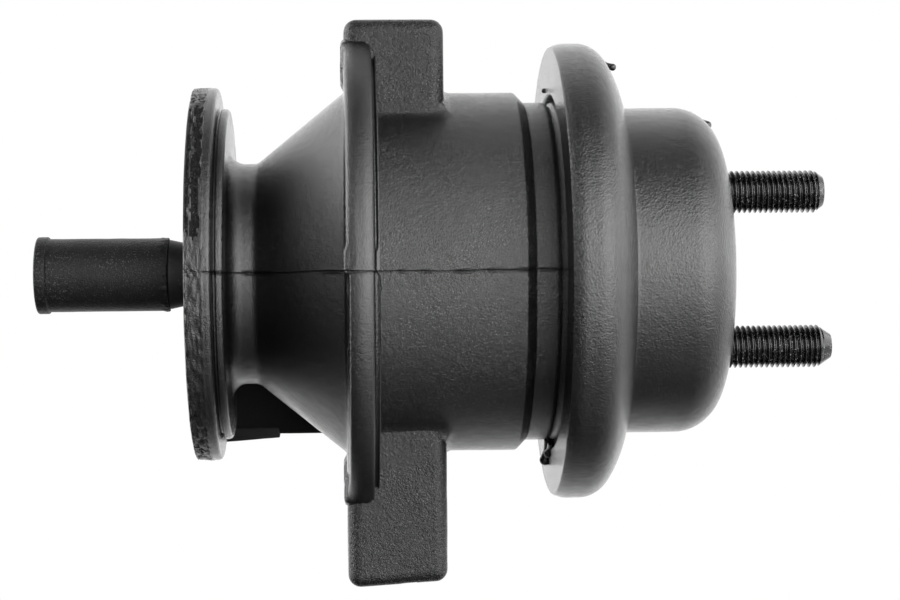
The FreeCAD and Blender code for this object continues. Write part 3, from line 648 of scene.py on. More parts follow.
class SurfaceEffects:
    """Shader groups that several finishes share."""

    RIPPLE_DETAIL = 2.0
    PEEL_DETAIL = 3.0
    PEEL_ROUGH = 0.6
    SPECK_DETAIL = 1.0
    SPECK_RANGE = (0.60, 0.74)
    PATCH_SCALE = 90.0
    PATCH_DETAIL = 2.0
    PATCH_RANGE = (0.35, 0.65)
    PATCH_SHARE = (0.35, 1.0)
    CLOUD_DETAIL = 4.0
    CLOUD_RANGE = (0.3, 0.7)

    def __init__(self) -> None:
        """Build each group once."""
        self.relief = self._group("surface_relief", "Height", self._relief, {
            "Ripple Scale": 300.0, "Peel Scale": 1200.0, "Peel Share": 0.5})
        self.speckle = self._group("dust_and_glint_speckle", "Mask", self._speckle, {
            "Scale": 2400.0, "Amount": 0.3})
        self.clouds = self._group("sheen_clouds", "Value", self._clouds, {
            "Scale": 60.0, "Low": 0.3, "High": 0.5})

    @staticmethod
    def _group(name: str, result: str, lay_out: LayOut,
               inputs: dict[str, float]) -> bpy.types.NodeTree:
        """Make one group.

        Args:
            name: name of the group.
            result: name of its output.
            lay_out: adds its nodes and gives the socket of its result.
            inputs: its numbers with their first values, beside its vector.

        Returns:
            The group.
        """
        group = bpy.data.node_groups.new(name, "ShaderNodeTree")
        group.interface.new_socket("Vector", in_out="INPUT", socket_type="NodeSocketVector")
        for label, value in inputs.items():
            socket = group.interface.new_socket(label, in_out="INPUT",
                                                socket_type="NodeSocketFloat")
            socket.default_value = value
        group.interface.new_socket(result, in_out="OUTPUT", socket_type="NodeSocketFloat")
        sketch = Sketch(group)
        start = sketch.node("NodeGroupInput").outputs
        sketch.join(lay_out(sketch, start), sketch.node("NodeGroupOutput").inputs[result])
        return group

    def _relief(self, sketch: Sketch, start: Sockets) -> bpy.types.NodeSocket:
        """Relief of a coat or a mould: broad ripples with finer peel on them.

        Args:
            sketch: the group's sketch.
            start: the group's inputs.

        Returns:
            The height.
        """
        ripple = sketch.noise(start["Vector"], start["Ripple Scale"], self.RIPPLE_DETAIL)
        peel = sketch.noise(start["Vector"], start["Peel Scale"], self.PEEL_DETAIL,
                            self.PEEL_ROUGH)
        return sketch.math("ADD", ripple, sketch.product(peel, start["Peel Share"]))

    def _speckle(self, sketch: Sketch, start: Sockets) -> bpy.types.NodeSocket:
        """Scattered bright specks: dust, and painted glints where pores would catch the light.

        Args:
            sketch: the group's sketch.
            start: the group's inputs.

        Returns:
            Where the specks are.
        """
        specks = sketch.noise(start["Vector"], start["Scale"], self.SPECK_DETAIL)
        patch = sketch.noise(start["Vector"], self.PATCH_SCALE, self.PATCH_DETAIL)
        level = sketch.spread(specks, self.SPECK_RANGE)
        share = sketch.spread(patch, self.PATCH_RANGE, self.PATCH_SHARE)
        return sketch.product(level, share, start["Amount"])

    def _clouds(self, sketch: Sketch, start: Sockets) -> bpy.types.NodeSocket:
        """Slow change of sheen over a surface.

        Args:
            sketch: the group's sketch.
            start: the group's inputs.

        Returns:
            The roughness.
        """
        cloud = sketch.noise(start["Vector"], start["Scale"], self.CLOUD_DETAIL)
        share = sketch.spread(cloud, self.CLOUD_RANGE)
        reach = sketch.math("SUBTRACT", start["High"], start["Low"])
        return sketch.math("MULTIPLY_ADD", share, reach, start["Low"])


@dataclass(frozen=True)
class Finish:
    """One surface finish, as sizes for the shared effects and the shader's own settings."""

    DULL_ROUGHNESS = 0.12
    GRIT_SIZE = 0.6
    GRIT_SHARE = 0.45
    ROLL_STRETCH = (1.0, 1.0, 0.08)
    ROLL_MM = 0.25
    ROLL_SHARE = 0.4

    name: str
    texture: Texture
    colour: tuple[float, float, float]
    dust_and_glint_colour: tuple[float, float, float]
    roughness: tuple[float, float]
    metallic: float = 0.0
    specular: float = 0.5
    ripple_mm: float = 3.0
    peel_mm: float = 0.8
    peel_share: float = 0.5
    bump_mm: float = 0.06
    speckle: float = 0.5
    speckle_mm: float = 0.35

    def build(self, effects: SurfaceEffects) -> bpy.types.Material:
        """Make the material.

        Args:
            effects: the shared shader groups.

        Returns:
            The finished material.
        """
        material = bpy.data.materials.new(self.name)
        material.use_nodes = True
        tree = material.node_tree
        tree.nodes.clear()
        sketch = Sketch(tree)
        output = sketch.node("ShaderNodeOutputMaterial")
        shader = sketch.node("ShaderNodeBsdfPrincipled")
        sketch.join(shader.outputs["BSDF"], output.inputs["Surface"])
        place = sketch.node("ShaderNodeTexCoord").outputs["Object"]
        relief = self._place(sketch, effects.relief, place, {
            "Ripple Scale": 1.0 / (self.ripple_mm * MM), "Peel Scale": 1.0 / (self.peel_mm * MM),
            "Peel Share": self.peel_share})
        speckle = self._place(sketch, effects.speckle, place, {
            "Scale": 1.0 / (self.speckle_mm * MM), "Amount": self.speckle})
        clouds = self._place(sketch, effects.clouds, place, {
            "Low": self.roughness[0], "High": self.roughness[1]})
        # The specks lighten the base colour: dust, and painted glints.
        mix = sketch.node("ShaderNodeMix", data_type="RGBA")
        sketch.join(speckle, mix.inputs["Factor"])
        mix.inputs["A"].default_value = (*self.colour, 1.0)
        mix.inputs["B"].default_value = (*self.dust_and_glint_colour, 1.0)
        sketch.join(mix.outputs["Result"], shader.inputs["Base Color"])
        dull = sketch.node("ShaderNodeAttribute", attribute_name=DULL).outputs["Fac"]
        rough = sketch.math("MULTIPLY_ADD", dull, self.DULL_ROUGHNESS, clouds, clamp=True)
        sketch.join(rough, shader.inputs["Roughness"])
        shader.inputs["Metallic"].default_value = self.metallic
        shader.inputs["Specular IOR Level"].default_value = self.specular
        bump = sketch.node("ShaderNodeBump")
        bump.inputs["Distance"].default_value = self.bump_mm * MM
        bump.inputs["Strength"].default_value = 1.0
        sketch.join(self._height(sketch, place, relief), bump.inputs["Height"])
        sketch.join(bump.outputs["Normal"], shader.inputs["Normal"])
        return material

    @staticmethod
    def _place(sketch: Sketch, group: bpy.types.NodeTree, place: bpy.types.NodeSocket,
               values: dict[str, float]) -> bpy.types.NodeSocket:
        """Place a shared group.

        Args:
            sketch: the material's sketch.
            group: the group.
            place: the coordinates.
            values: the group's own values in this material, by name.

        Returns:
            The group's result.
        """
        node = sketch.node("ShaderNodeGroup", node_tree=group)
        sketch.join(place, node.inputs["Vector"])
        for name, value in values.items():
            node.inputs[name].default_value = value
        return node.outputs[0]

    def _height(self, sketch: Sketch, place: bpy.types.NodeSocket,
                relief: bpy.types.NodeSocket) -> bpy.types.NodeSocket:
        """Add to the relief what the surface's making leaves.

        Args:
            sketch: the material's sketch.
            place: the coordinates.
            relief: the shared relief.

        Returns:
            The height for the bump.
        """
        if self.texture is Texture.CAST:
            grit = sketch.noise(place, 1.0 / (self.peel_mm * self.GRIT_SIZE * MM), 1.0)
            return sketch.math("MULTIPLY_ADD", grit, self.GRIT_SHARE, relief)
        if self.texture is Texture.ROLLED:
            stretch = sketch.node("ShaderNodeMapping")
            stretch.inputs["Scale"].default_value = self.ROLL_STRETCH
            sketch.join(place, stretch.inputs["Vector"])
            lines = sketch.noise(stretch.outputs["Vector"], 1.0 / (self.ROLL_MM * MM), 2.0)
            return sketch.math("ADD", relief, sketch.product(lines, self.ROLL_SHARE))
        return relief


BLACK = (0.0009, 0.0009, 0.0010)
# Grey of the scattered specks: dust, and painted glints.
DUST_AND_GLINT_GREY = (0.065, 0.065, 0.066)
GREY_STEEL = (0.36, 0.36, 0.37)

BRACKET_PAINT = Finish(
    "bracket_paint", Texture.CAST, BLACK, DUST_AND_GLINT_GREY, roughness=(0.17, 0.24), ripple_mm=1.5,
    peel_mm=0.36, peel_share=2.2, bump_mm=0.12, speckle=0.6, speckle_mm=0.25)
EAR_PAINT = Finish(
    "ear_paint", Texture.CAST, BLACK, DUST_AND_GLINT_GREY, roughness=(0.24, 0.30), specular=0.27,
    ripple_mm=0.9, peel_mm=0.36, peel_share=1.4, bump_mm=0.16, speckle=0.8)
# Same cast paint as the barrel, made dull and dark to paint the shade that the disc and cone cast
# on the rear leg.
LEG_PAINTED_SHADE = Finish(
    "leg_painted_shade", Texture.CAST, BLACK, BLACK, roughness=(0.7, 0.8), specular=0.12,
    ripple_mm=1.2, peel_mm=0.4, bump_mm=0.1)
SPRING_RUBBER = Finish(
    "spring_rubber", Texture.MOULDED, BLACK, DUST_AND_GLINT_GREY, roughness=(0.16, 0.23), ripple_mm=1.6,
    peel_mm=0.34, peel_share=2.0, bump_mm=0.09, speckle=0.3, speckle_mm=0.25)
TORN_RUBBER = Finish(
    "torn_rubber", Texture.MOULDED, BLACK, DUST_AND_GLINT_GREY, roughness=(0.5, 0.6), specular=0.12,
    ripple_mm=1.2, peel_mm=0.4, peel_share=1.4, bump_mm=0.2, speckle=0.6)
COVER_PAINT = Finish(
    "cover_paint", Texture.COATED, BLACK, DUST_AND_GLINT_GREY, roughness=(0.14, 0.20), ripple_mm=1.7,
    peel_mm=0.40, peel_share=2.0, bump_mm=0.10, speckle=0.4, speckle_mm=0.25)
STUD_STEEL = Finish(
    "stud_steel", Texture.ROLLED, BLACK, (0.22, 0.22, 0.22), roughness=(0.14, 0.22),
    specular=0.42, bump_mm=0.025, speckle=0.7, speckle_mm=0.5)
PIN_STEEL = Finish(
    "pin_steel", Texture.FINE, BLACK, DUST_AND_GLINT_GREY, roughness=(0.5, 0.6), specular=0.3,
    peel_mm=0.4, bump_mm=0.02)
SLEEVE_MOULDING = Finish(
    "sleeve_moulding", Texture.FINE, (0.003, 0.003, 0.0032), (0.07, 0.07, 0.071),
    roughness=(0.36, 0.44), specular=0.15, ripple_mm=0.8, peel_mm=0.3, peel_share=1.2,
    bump_mm=0.12, speckle=0.8, speckle_mm=0.3)
CORE_ALLOY = Finish(
    "core_alloy", Texture.CAST, (0.42, 0.42, 0.43), (0.55, 0.55, 0.56), roughness=(0.4, 0.55),
    metallic=1.0, bump_mm=0.05)
PLAIN_STEEL = Finish(
    "plain_steel", Texture.ROLLED, GREY_STEEL, (0.48, 0.48, 0.48), roughness=(0.3, 0.42),
    metallic=1.0, bump_mm=0.02)
TRACK_SHEET = Finish(
    "track_sheet", Texture.ROLLED, (0.45, 0.45, 0.45), (0.55, 0.55, 0.55),
    roughness=(0.28, 0.4), metallic=1.0, bump_mm=0.02)
INNER_RUBBER = Finish(
    "inner_rubber", Texture.MOULDED, (0.02, 0.02, 0.021), (0.05, 0.05, 0.05),
    roughness=(0.5, 0.62), bump_mm=0.03)

INNER_FINISHES = {
    "inner_core": CORE_ALLOY, "stopper_plate": PLAIN_STEEL, "stud_plate": PLAIN_STEEL,
    "track_top_plate": TRACK_SHEET, "track_body": CORE_ALLOY, "track_bottom_plate": TRACK_SHEET,
    "membrane": INNER_RUBBER, "seal_ring": INNER_RUBBER, "diaphragm": INNER_RUBBER,
    "diaphragm_ring": PLAIN_STEEL, "track_rivet_1": PLAIN_STEEL, "track_rivet_2": PLAIN_STEEL,
    "track_rivet_3": PLAIN_STEEL,
}


# ---------------------------------------------------------------- mould marks

@dataclass(frozen=True)
class PartingLine:
    """The seam that the mould's halves leave along the front and the back."""

    front: float = FRONT + 0.4
    half_columns: float = 1.1
    depth: float = 0.28
    width: float = 0.13
    lip: float = 0.26
    lip_away: float = 2.6
    far_lip: float = 0.6
    lip_share: float = 0.35
    lip_most: float = 1.6
    mismatch: float = 0.09
    mismatch_width: float = 0.2
    mismatch_reach: float = 9.0
    reach: float = 60.0
    wander: Waves = Waves(9.0, 0.18, 5)
    breaks: Waves = Waves(2.4, 1.5, 7)

    def columns(self) -> list[tuple[float, float, int]]:
        """Closer lathe columns for the seam."""
        return [(self.front, self.half_columns, 19), (BACK, self.half_columns, 9)]

    def field(self, surface: Surface, shown: np.ndarray) -> np.ndarray:
        """Relief of the seam.

        Args:
            surface: the surface that carries it.
            shown: how much of it each place gets, from 0 to 1.

        Returns:
            Distance outwards for each place.
        """
        height = np.zeros(len(surface.points))
        level = surface.points * np.array([0.0, 0.0, 1.0])
        drift = self.wander.at(level)
        broken = np.clip(self.lip_share + self.breaks.at(level), 0.0, self.lip_most)
        lip_centre = self.width * self.lip_away
        for side in (self.front, BACK):
            away = surface.along(side, drift)
            near = np.abs(turn_back(surface.angle - side)) < self.reach
            groove = -self.depth * bell(away, self.width)
            lips = bell(away - lip_centre, self.width)
            lips += self.far_lip * bell(away + lip_centre, self.width)
            step = np.tanh(away / self.mismatch_width) * np.exp(
                -np.abs(away) / self.mismatch_reach)
            raised = groove + self.lip * broken * lips + self.mismatch * step
            height += np.where(near, raised, 0.0)
        return height * shown


# ---------------------------------------------------------------- rubber moulding

@dataclass
class RubberMoulding:
    """Stopper disc, waist, cone, flange face and rim bead, moulded in one piece."""

    disc_radius: float = 43.0
    disc_top: float = 120.9
    disc_edge: float = 0.5
    pin_hole: float = 15.0
    rim_line: float = 117.06
    disc_base: float = 115.0
    collar_radius: float = 38.2
    collar_base: float = 112.6
    collar_step: float = 1.5
    waist_radius: float = 25.5
    waist_base: float = 106.4
    cone_foot: float = 41.8
    rim_plane: float = 86.4
    bead_radius: float = 56.1
    bead_round: float = 3.0
    crown: float = 6.2
    crown_turn: float = 19.0
    crown_edge: float = 0.75
    lip_base: float = 79.3
    ear_half_width: float = 22.5
    ear_root: float = 35.9
    seam: PartingLine = PartingLine()
    under_rows: tuple[Row, ...] = (
        (0.0, 82.0, 0.0, 5.0), (10.0, 82.0, 4.0, 5.0), (31.0, 65.0, 3.0, 5.0),
        (32.4, 61.0, 0.0, 3.0), (34.0, 61.0, 0.0, 3.0), (34.0, 66.0, 0.0, 5.0),
        (38.0, 84.9, 0.0, 5.0), (51.6, 84.9, 0.0, 5.0), (51.6, 80.6, 0.0, 5.0),
        (46.0, 80.6, 0.0, 5.0))
    core_rows: tuple[Row, ...] = (
        (15.0, 119.6, 0.0, 1.0), (40.5, 119.6, 0.0, 8.0), (40.5, 116.0, 0.0, 4.0),
        (22.5, 116.0, 0.0, 8.0), (22.5, 105.0, 0.0, 8.0), (8.0, 84.0, 0.0, 8.0),
        (0.0, 84.0, 0.0, 8.0))
    skin: Waves = Waves(11.0, 0.05, 3)
    crest: float = 2.5
    crest_spare: float = 0.02

    # Where the bead's halves meet at the front.
    swelling: float = 0.5
    swelling_end: tuple[float, float] = (5.4, 4.6)
    notch: float = 0.35
    notch_place: float = 3.2
    notch_width: float = 0.9
    half_offset: float = 0.5
    half_end: tuple[float, float] = (-62.0, -50.0)

    # Flash line and wrinkled skin of the disc's rim.
    flash: float = 0.16
    flash_width: float = 0.14
    flash_wander: Waves = Waves(6.0, 0.12, 21)
    flash_breaks: Waves = Waves(0.9, 0.8, 31)
    flash_share: float = 0.6
    folds: Waves = Waves(1.5, 1.0, 11, 3)
    fold_stretch: float = 1.35
    fold_edge: float = 0.34
    fold_depth: float = 1.3
    fold_level: float = 0.06
    fold_lean: float = 0.05
    crumbs: Waves = Waves(0.55, 0.05, 17)
    low_side: float = 176.0
    low_side_ends: tuple[float, float] = (14.0, 6.0)
    low_level: float = 0.12
    low_crumbs: Waves = Waves(1.2, 0.25, 41)

    # Patch of the rim whose skin is torn away.
    patch_middle: float = -55.0
    patch_ends: tuple[float, float] = (29.0, 19.0)
    patch_depth: float = 0.30
    patch_edge: Waves = Waves(2.2, 0.5, 43)
    patch_crumbs: Waves = Waves(0.9, 1.0, 47)
    patch_base: float = 0.5
    streak_height: float = 119.5
    streak_width: float = 0.25

    # Fillet of the bead beside the ears.
    foot_round: float = 1.1
    foot_share: float = 0.7

    def section(self) -> np.ndarray:
        """Draw the moulding's section.

        Returns:
            Radius and height of each point.
        """
        bead_centre = self.bead_radius - self.bead_round
        bead_height = self.rim_plane - self.bead_round
        bead_side = self.bead_radius - self.crown_edge
        inner_collar = self.collar_radius - self.collar_step
        outline = Profile(step=0.62).trace(self.under_rows).trace((
            (46.0, self.lip_base, 0.3, 2.0),
            (bead_centre - 0.1, self.lip_base, 0.25, 0.3),
            (bead_centre + 0.1, self.lip_base + 0.3, 0.2, 0.15),
            (bead_centre - 0.7, self.lip_base + 0.75, 0.3, 0.2),
            (bead_centre - 0.2, bead_height - self.bead_round, 0.3, 0.3),
            (bead_side, bead_height - self.bead_round, 1.0, 0.4)))
        outline.arc((self.bead_radius - self.crown, bead_height), self.crown,
                    -self.crown_turn, self.crown_turn)
        outline.trace((
            (bead_side, self.rim_plane, 1.15, 0.4),
            (self.cone_foot, self.rim_plane, 1.5, 0.0),
            (self.waist_radius, self.waist_base, 2.5, 0.0),
            (self.waist_radius, self.collar_base, 3.4, 0.0),
            (self.collar_radius, self.collar_base, 0.9, 0.0),
            (self.collar_radius, self.disc_base - 0.65, 0.2, 0.3),
            (inner_collar, self.disc_base - 0.55, 0.15, 0.4),
            (inner_collar, self.disc_base, 0.15, 0.3),
            (self.disc_radius, self.disc_base, 0.9, 0.4),
            (self.disc_radius, self.disc_top, self.disc_edge, 0.3),
            (self.pin_hole, self.disc_top, self.disc_edge, 0.0)))
        return outline.trace(self.core_rows).points(closed=False)

    def relief(self, surface: Surface) -> np.ndarray:
        """Everything that stands out from or sinks into the plain section.

        Args:
            surface: the moulding's surface.

        Returns:
            Distance outwards for each place; the bead's crest never rises.
        """
        outside = smooth_ramp(surface.radius, self.waist_radius - 3.0, self.waist_radius - 1.0)
        outside = outside * (surface.height > self.lip_base - 0.5)
        height = outside * self.skin.at(surface.points)
        height += self.seam.field(surface, outside * (surface.height < self.rim_line))
        height += self._rough_rim(surface)
        height += self._bead_halves(surface)
        height += self._ear_feet(surface)
        room = self.bead_radius - self.crest_spare - surface.radius
        on_crest = surface.radius > self.bead_radius - self.crest
        return np.where(on_crest, np.minimum(height, room), height)

    def _bead_halves(self, surface: Surface) -> np.ndarray:
        """Offset between the bead's halves at the front seam, with a swelling beside it.

        Args:
            surface: the moulding's surface.

        Returns:
            Distance outwards for each place.
        """
        on_bead = smooth_ramp(surface.radius, self.bead_radius - 6.0, self.bead_radius - 4.0)
        on_face = on_bead * smooth_ramp(surface.normals[:, 2], 0.35, 0.85)
        away = surface.along(FRONT)
        near = np.abs(turn_back(surface.angle - FRONT)) < 75.0
        low_half = smooth_ramp(away, 0.6, -1.0) * smooth_ramp(away, *self.half_end)
        swelling = smooth_ramp(away, -0.3, 0.2) * smooth_ramp(away, *self.swelling_end)
        notch = bell(away + self.notch_place, self.notch_width)
        height = self.swelling * swelling - self.notch * notch - self.half_offset * low_half
        return on_face * near * height

    def _rough_rim(self, surface: Surface) -> np.ndarray:
        """Wrinkled skin on the disc's rim beyond the flash line, and that line.

        Args:
            surface: the moulding's surface.

        Returns:
            Distance outwards for each place.
        """
        places = surface.points
        over = surface.height - self.rim_line
        on_rim = smooth_ramp(surface.radius, self.disc_radius - 0.9, self.disc_radius - 0.3)
        beyond = smooth_ramp(over, 0.0, 0.35)
        folds = np.abs(self.folds.at(places * np.array([1.0, 1.0, self.fold_stretch])))
        creases = np.clip(self.fold_edge - folds, 0.0, self.fold_edge) * self.fold_depth
        wrinkles = self.fold_level - creases + self.crumbs.at(places)
        wrinkles -= self.fold_lean * np.maximum(over, 0.0)
        flash = self.flash * bell(over - self.flash_wander.at(places), self.flash_width)
        ragged = self.flash_share + self.flash_breaks.at(places)
        low_side = smooth_ramp(np.abs(turn_back(surface.angle - self.low_side)),
                               *self.low_side_ends)
        torn = low_side * (self.low_level + self.low_crumbs.at(places))
        sunk = self.patch_depth * (self.torn_patch(places) > 0.5)
        return on_rim * (beyond * (wrinkles + torn - sunk) + flash * ragged)

    def _ear_feet(self, surface: Surface) -> np.ndarray:
        """Fillet of the bead where it runs against the flat faces of the ears.

        Args:
            surface: the moulding's surface.

        Returns:
            Distance outwards for each place.
        """
        across, depth = np.abs(surface.points[:, 0]), np.abs(surface.points[:, 1])
        on_bead = smooth_ramp(surface.radius, self.bead_radius - 7.0, self.bead_radius - 5.0)
        near_ear = smooth_ramp(across, self.ear_root, self.ear_root + 2.0)
        beside = np.maximum(depth - self.ear_half_width, 0.0)
        reach = np.clip(self.foot_round - beside, 0.0, self.foot_round)
        reach = reach * (depth > self.ear_half_width - 3.0)
        outer = smooth_ramp(surface.normals[:, 2], -0.35, 0.0) * smooth_ramp(
            surface.height, self.rim_plane - 5.9, self.rim_plane - 5.2)
        rise = fillet(reach, self.foot_round)
        return outer * on_bead * near_ear * rise * self.foot_share

    def torn_patch(self, places: np.ndarray) -> np.ndarray:
        """Where the rim's skin is torn away down to matt rubber.

        Args:
            places: places on the moulding.

        Returns:
            Values above 0.5 inside the patch.
        """
        radius = np.hypot(places[:, 0], places[:, 1])
        angle = np.degrees(np.arctan2(places[:, 1], places[:, 0]))
        edge = self.patch_edge.at(places)
        crumbs = self.patch_crumbs.at(places)
        along = smooth_ramp(np.abs(turn_back(angle - self.patch_middle)), *self.patch_ends) + edge
        above = places[:, 2] > self.rim_line + self.patch_base + edge + 0.35 * crumbs
        streak = np.abs(places[:, 2] - self.streak_height - edge)
        clear = streak > self.streak_width + 0.2 * crumbs
        return above * clear * (radius > self.disc_radius - 1.0) * along

    def dull(self, places: np.ndarray) -> np.ndarray:
        """Torn rubber beyond the flash line, which has no sheen.

        Args:
            places: places on the moulding.

        Returns:
            Values from 0 to 1.
        """
        radius = np.hypot(places[:, 0], places[:, 1])
        on_rim = smooth_ramp(radius, self.disc_radius - 1.6, self.disc_radius - 0.8)
        return on_rim * smooth_ramp(places[:, 2], self.rim_line, self.rim_line + 0.3)

    def build(self, materials: Sequence[bpy.types.Material]) -> None:
        """Make the piece.

        Args:
            materials: finishes of the rubber and of its torn patch.
        """
        side = math.degrees(math.asin((self.ear_half_width + 0.6) / (self.bead_radius - 1.0)))
        finer = self.seam.columns()
        finer += [(angle, 1.4, 9) for angle in (side, -side, 180.0 - side, side - 180.0)]
        shell = lathe(self.section(), columns(300, finer), False, self.relief)
        make_piece("rubber_moulding", [Shell(*shell, patch=self.torn_patch)], materials,
                   ["main_rubber"], self.dull)


# ---------------------------------------------------------------- bracket

def fillet(reach: np.ndarray, radius: float) -> np.ndarray:
    """Height of a fillet of that radius, as far inside its reach as given."""
    return radius - np.sqrt(np.maximum(radius ** 2 - reach ** 2, 0.0))


@dataclass(frozen=True)
class Ear:
    """One ear of the bracket: a block with rounded ends and a tapped hole behind."""

    root: float
    tip: float
    hole: float
    slant: float = 0.0
    root_sunk: float = 1.5
    base: float = 64.1
    top: float = 86.4
    half_width: float = 22.5
    hole_height: float = 71.7
    hole_radius: float = 4.4
    hole_depth: float = 20.0
    hole_bevel: float = 0.9
    corner_round: float = 2.8
    least_round: float = 0.6
    face_round: float = 2.8
    skin_depth: float = 1.0
    swell: Waves = Waves(7.0, 0.10, 51, 3)
    pits: Waves = Waves(1.3, 0.03, 57)
    around: int = 168
    face_rings: int = 26
    round_rings: int = 6
    side_rings: int = 60
    mouth_rings: int = 16
    hole_rings: int = 12

    def ring(self, inset: float, y: float) -> np.ndarray:
        """The block's outline at one depth.

        Args:
            inset: distance inside the full outline.
            y: place along the mount's Y axis.

        Returns:
            Places of the ring.
        """
        side = math.copysign(1.0, self.tip)
        tip = abs(self.tip) - inset
        root = abs(self.root) - self.root_sunk
        base, top = self.base + inset, self.top - inset
        rounding = max(self.corner_round - inset, self.least_round)
        outline = Profile(step=0.5).to(root, base).to(tip + self.slant, base, rounding)
        outline.to(tip, top, rounding).to(root, top)
        flat = outline.points(closed=True) * np.array([side, 1.0])
        across, upward = even_ring(flat, (self.hole, self.hole_height), self.around).T
        return np.stack([across, np.full(self.around, y), upward], axis=1)

    def circle(self, radius: float, y: float) -> np.ndarray:
        """A ring of the hole at one depth.

        Args:
            radius: its radius.
            y: place along the mount's Y axis.

        Returns:
            Places of the ring.
        """
        turn = even_turns(self.around)
        return np.stack([self.hole + radius * np.cos(turn), np.full(self.around, y),
                         self.hole_height + radius * np.sin(turn)], axis=1)

    def shell(self) -> Skin:
        """Skin of the ear, with cast unevenness.

        Returns:
            Corner places and four-cornered faces.
        """
        front, rounding = -self.half_width, self.face_round
        depth = self.half_width - rounding
        quarter = quarter_turn(self.round_rings, 1)
        rings = [self.circle(0.0, front)]
        rings += self._between(rings[0], self.ring(rounding, front), self.face_rings)
        rings += [self.ring(rounding * (1 - sine), front + rounding * (1 - cosine))
                  for sine, cosine in quarter]
        rings += [self.ring(0.0, -depth + 2 * depth * step / self.side_rings)
                  for step in range(1, self.side_rings + 1)]
        rings += [self.ring(rounding * (1 - cosine), depth + rounding * sine)
                  for sine, cosine in quarter]
        mouth = self.circle(self.hole_radius + self.hole_bevel, self.half_width)
        rings += self._between(rings[-1], mouth, self.mouth_rings)
        skin_rings = len(rings) - 2
        rings.append(self.circle(self.hole_radius, self.half_width - self.hole_bevel))
        rings += [self.circle(self.hole_radius,
                              self.half_width - self.hole_depth * step / self.hole_rings)
                  for step in range(1, self.hole_rings + 1)]
        rings.append(self.circle(0.0, self.half_width - self.hole_depth))
        points, faces = loft(rings)
        return self._uneven(points, skin_rings * self.around), faces

    def _uneven(self, points: np.ndarray, skin_count: int) -> np.ndarray:
        """Move the skin by its cast unevenness; only the two large faces may rise.

        Args:
            points: places of the ear.
            skin_count: how many of them, from the first, are its skin.

        Returns:
            The moved places.
        """
        skin = np.arange(len(points)) < skin_count
        swell = self.swell.at(points) + self.pits.at(points)
        sunk = np.minimum(swell, 0.0)
        middle, half = (self.base + self.top) / 2, (self.top - self.base) / 2
        faces = skin * (np.abs(points[:, 1]) > self.half_width - self.face_round)
        points[:, 1] += np.sign(points[:, 1]) * faces * swell
        ends = skin * (np.abs(points[:, 0]) > abs(self.tip) - self.skin_depth)
        points[:, 0] += math.copysign(1.0, self.tip) * ends * sunk
        sides = skin * (np.abs(points[:, 2] - middle) > half - self.skin_depth)
        points[:, 2] += np.sign(points[:, 2] - middle) * sides * sunk
        return points

    @staticmethod
    def _between(first: np.ndarray, last: np.ndarray, count: int) -> list[np.ndarray]:
        """Even rings after the first one, up to the last."""
        return [first + (last - first) * (step / count) for step in range(1, count + 1)]


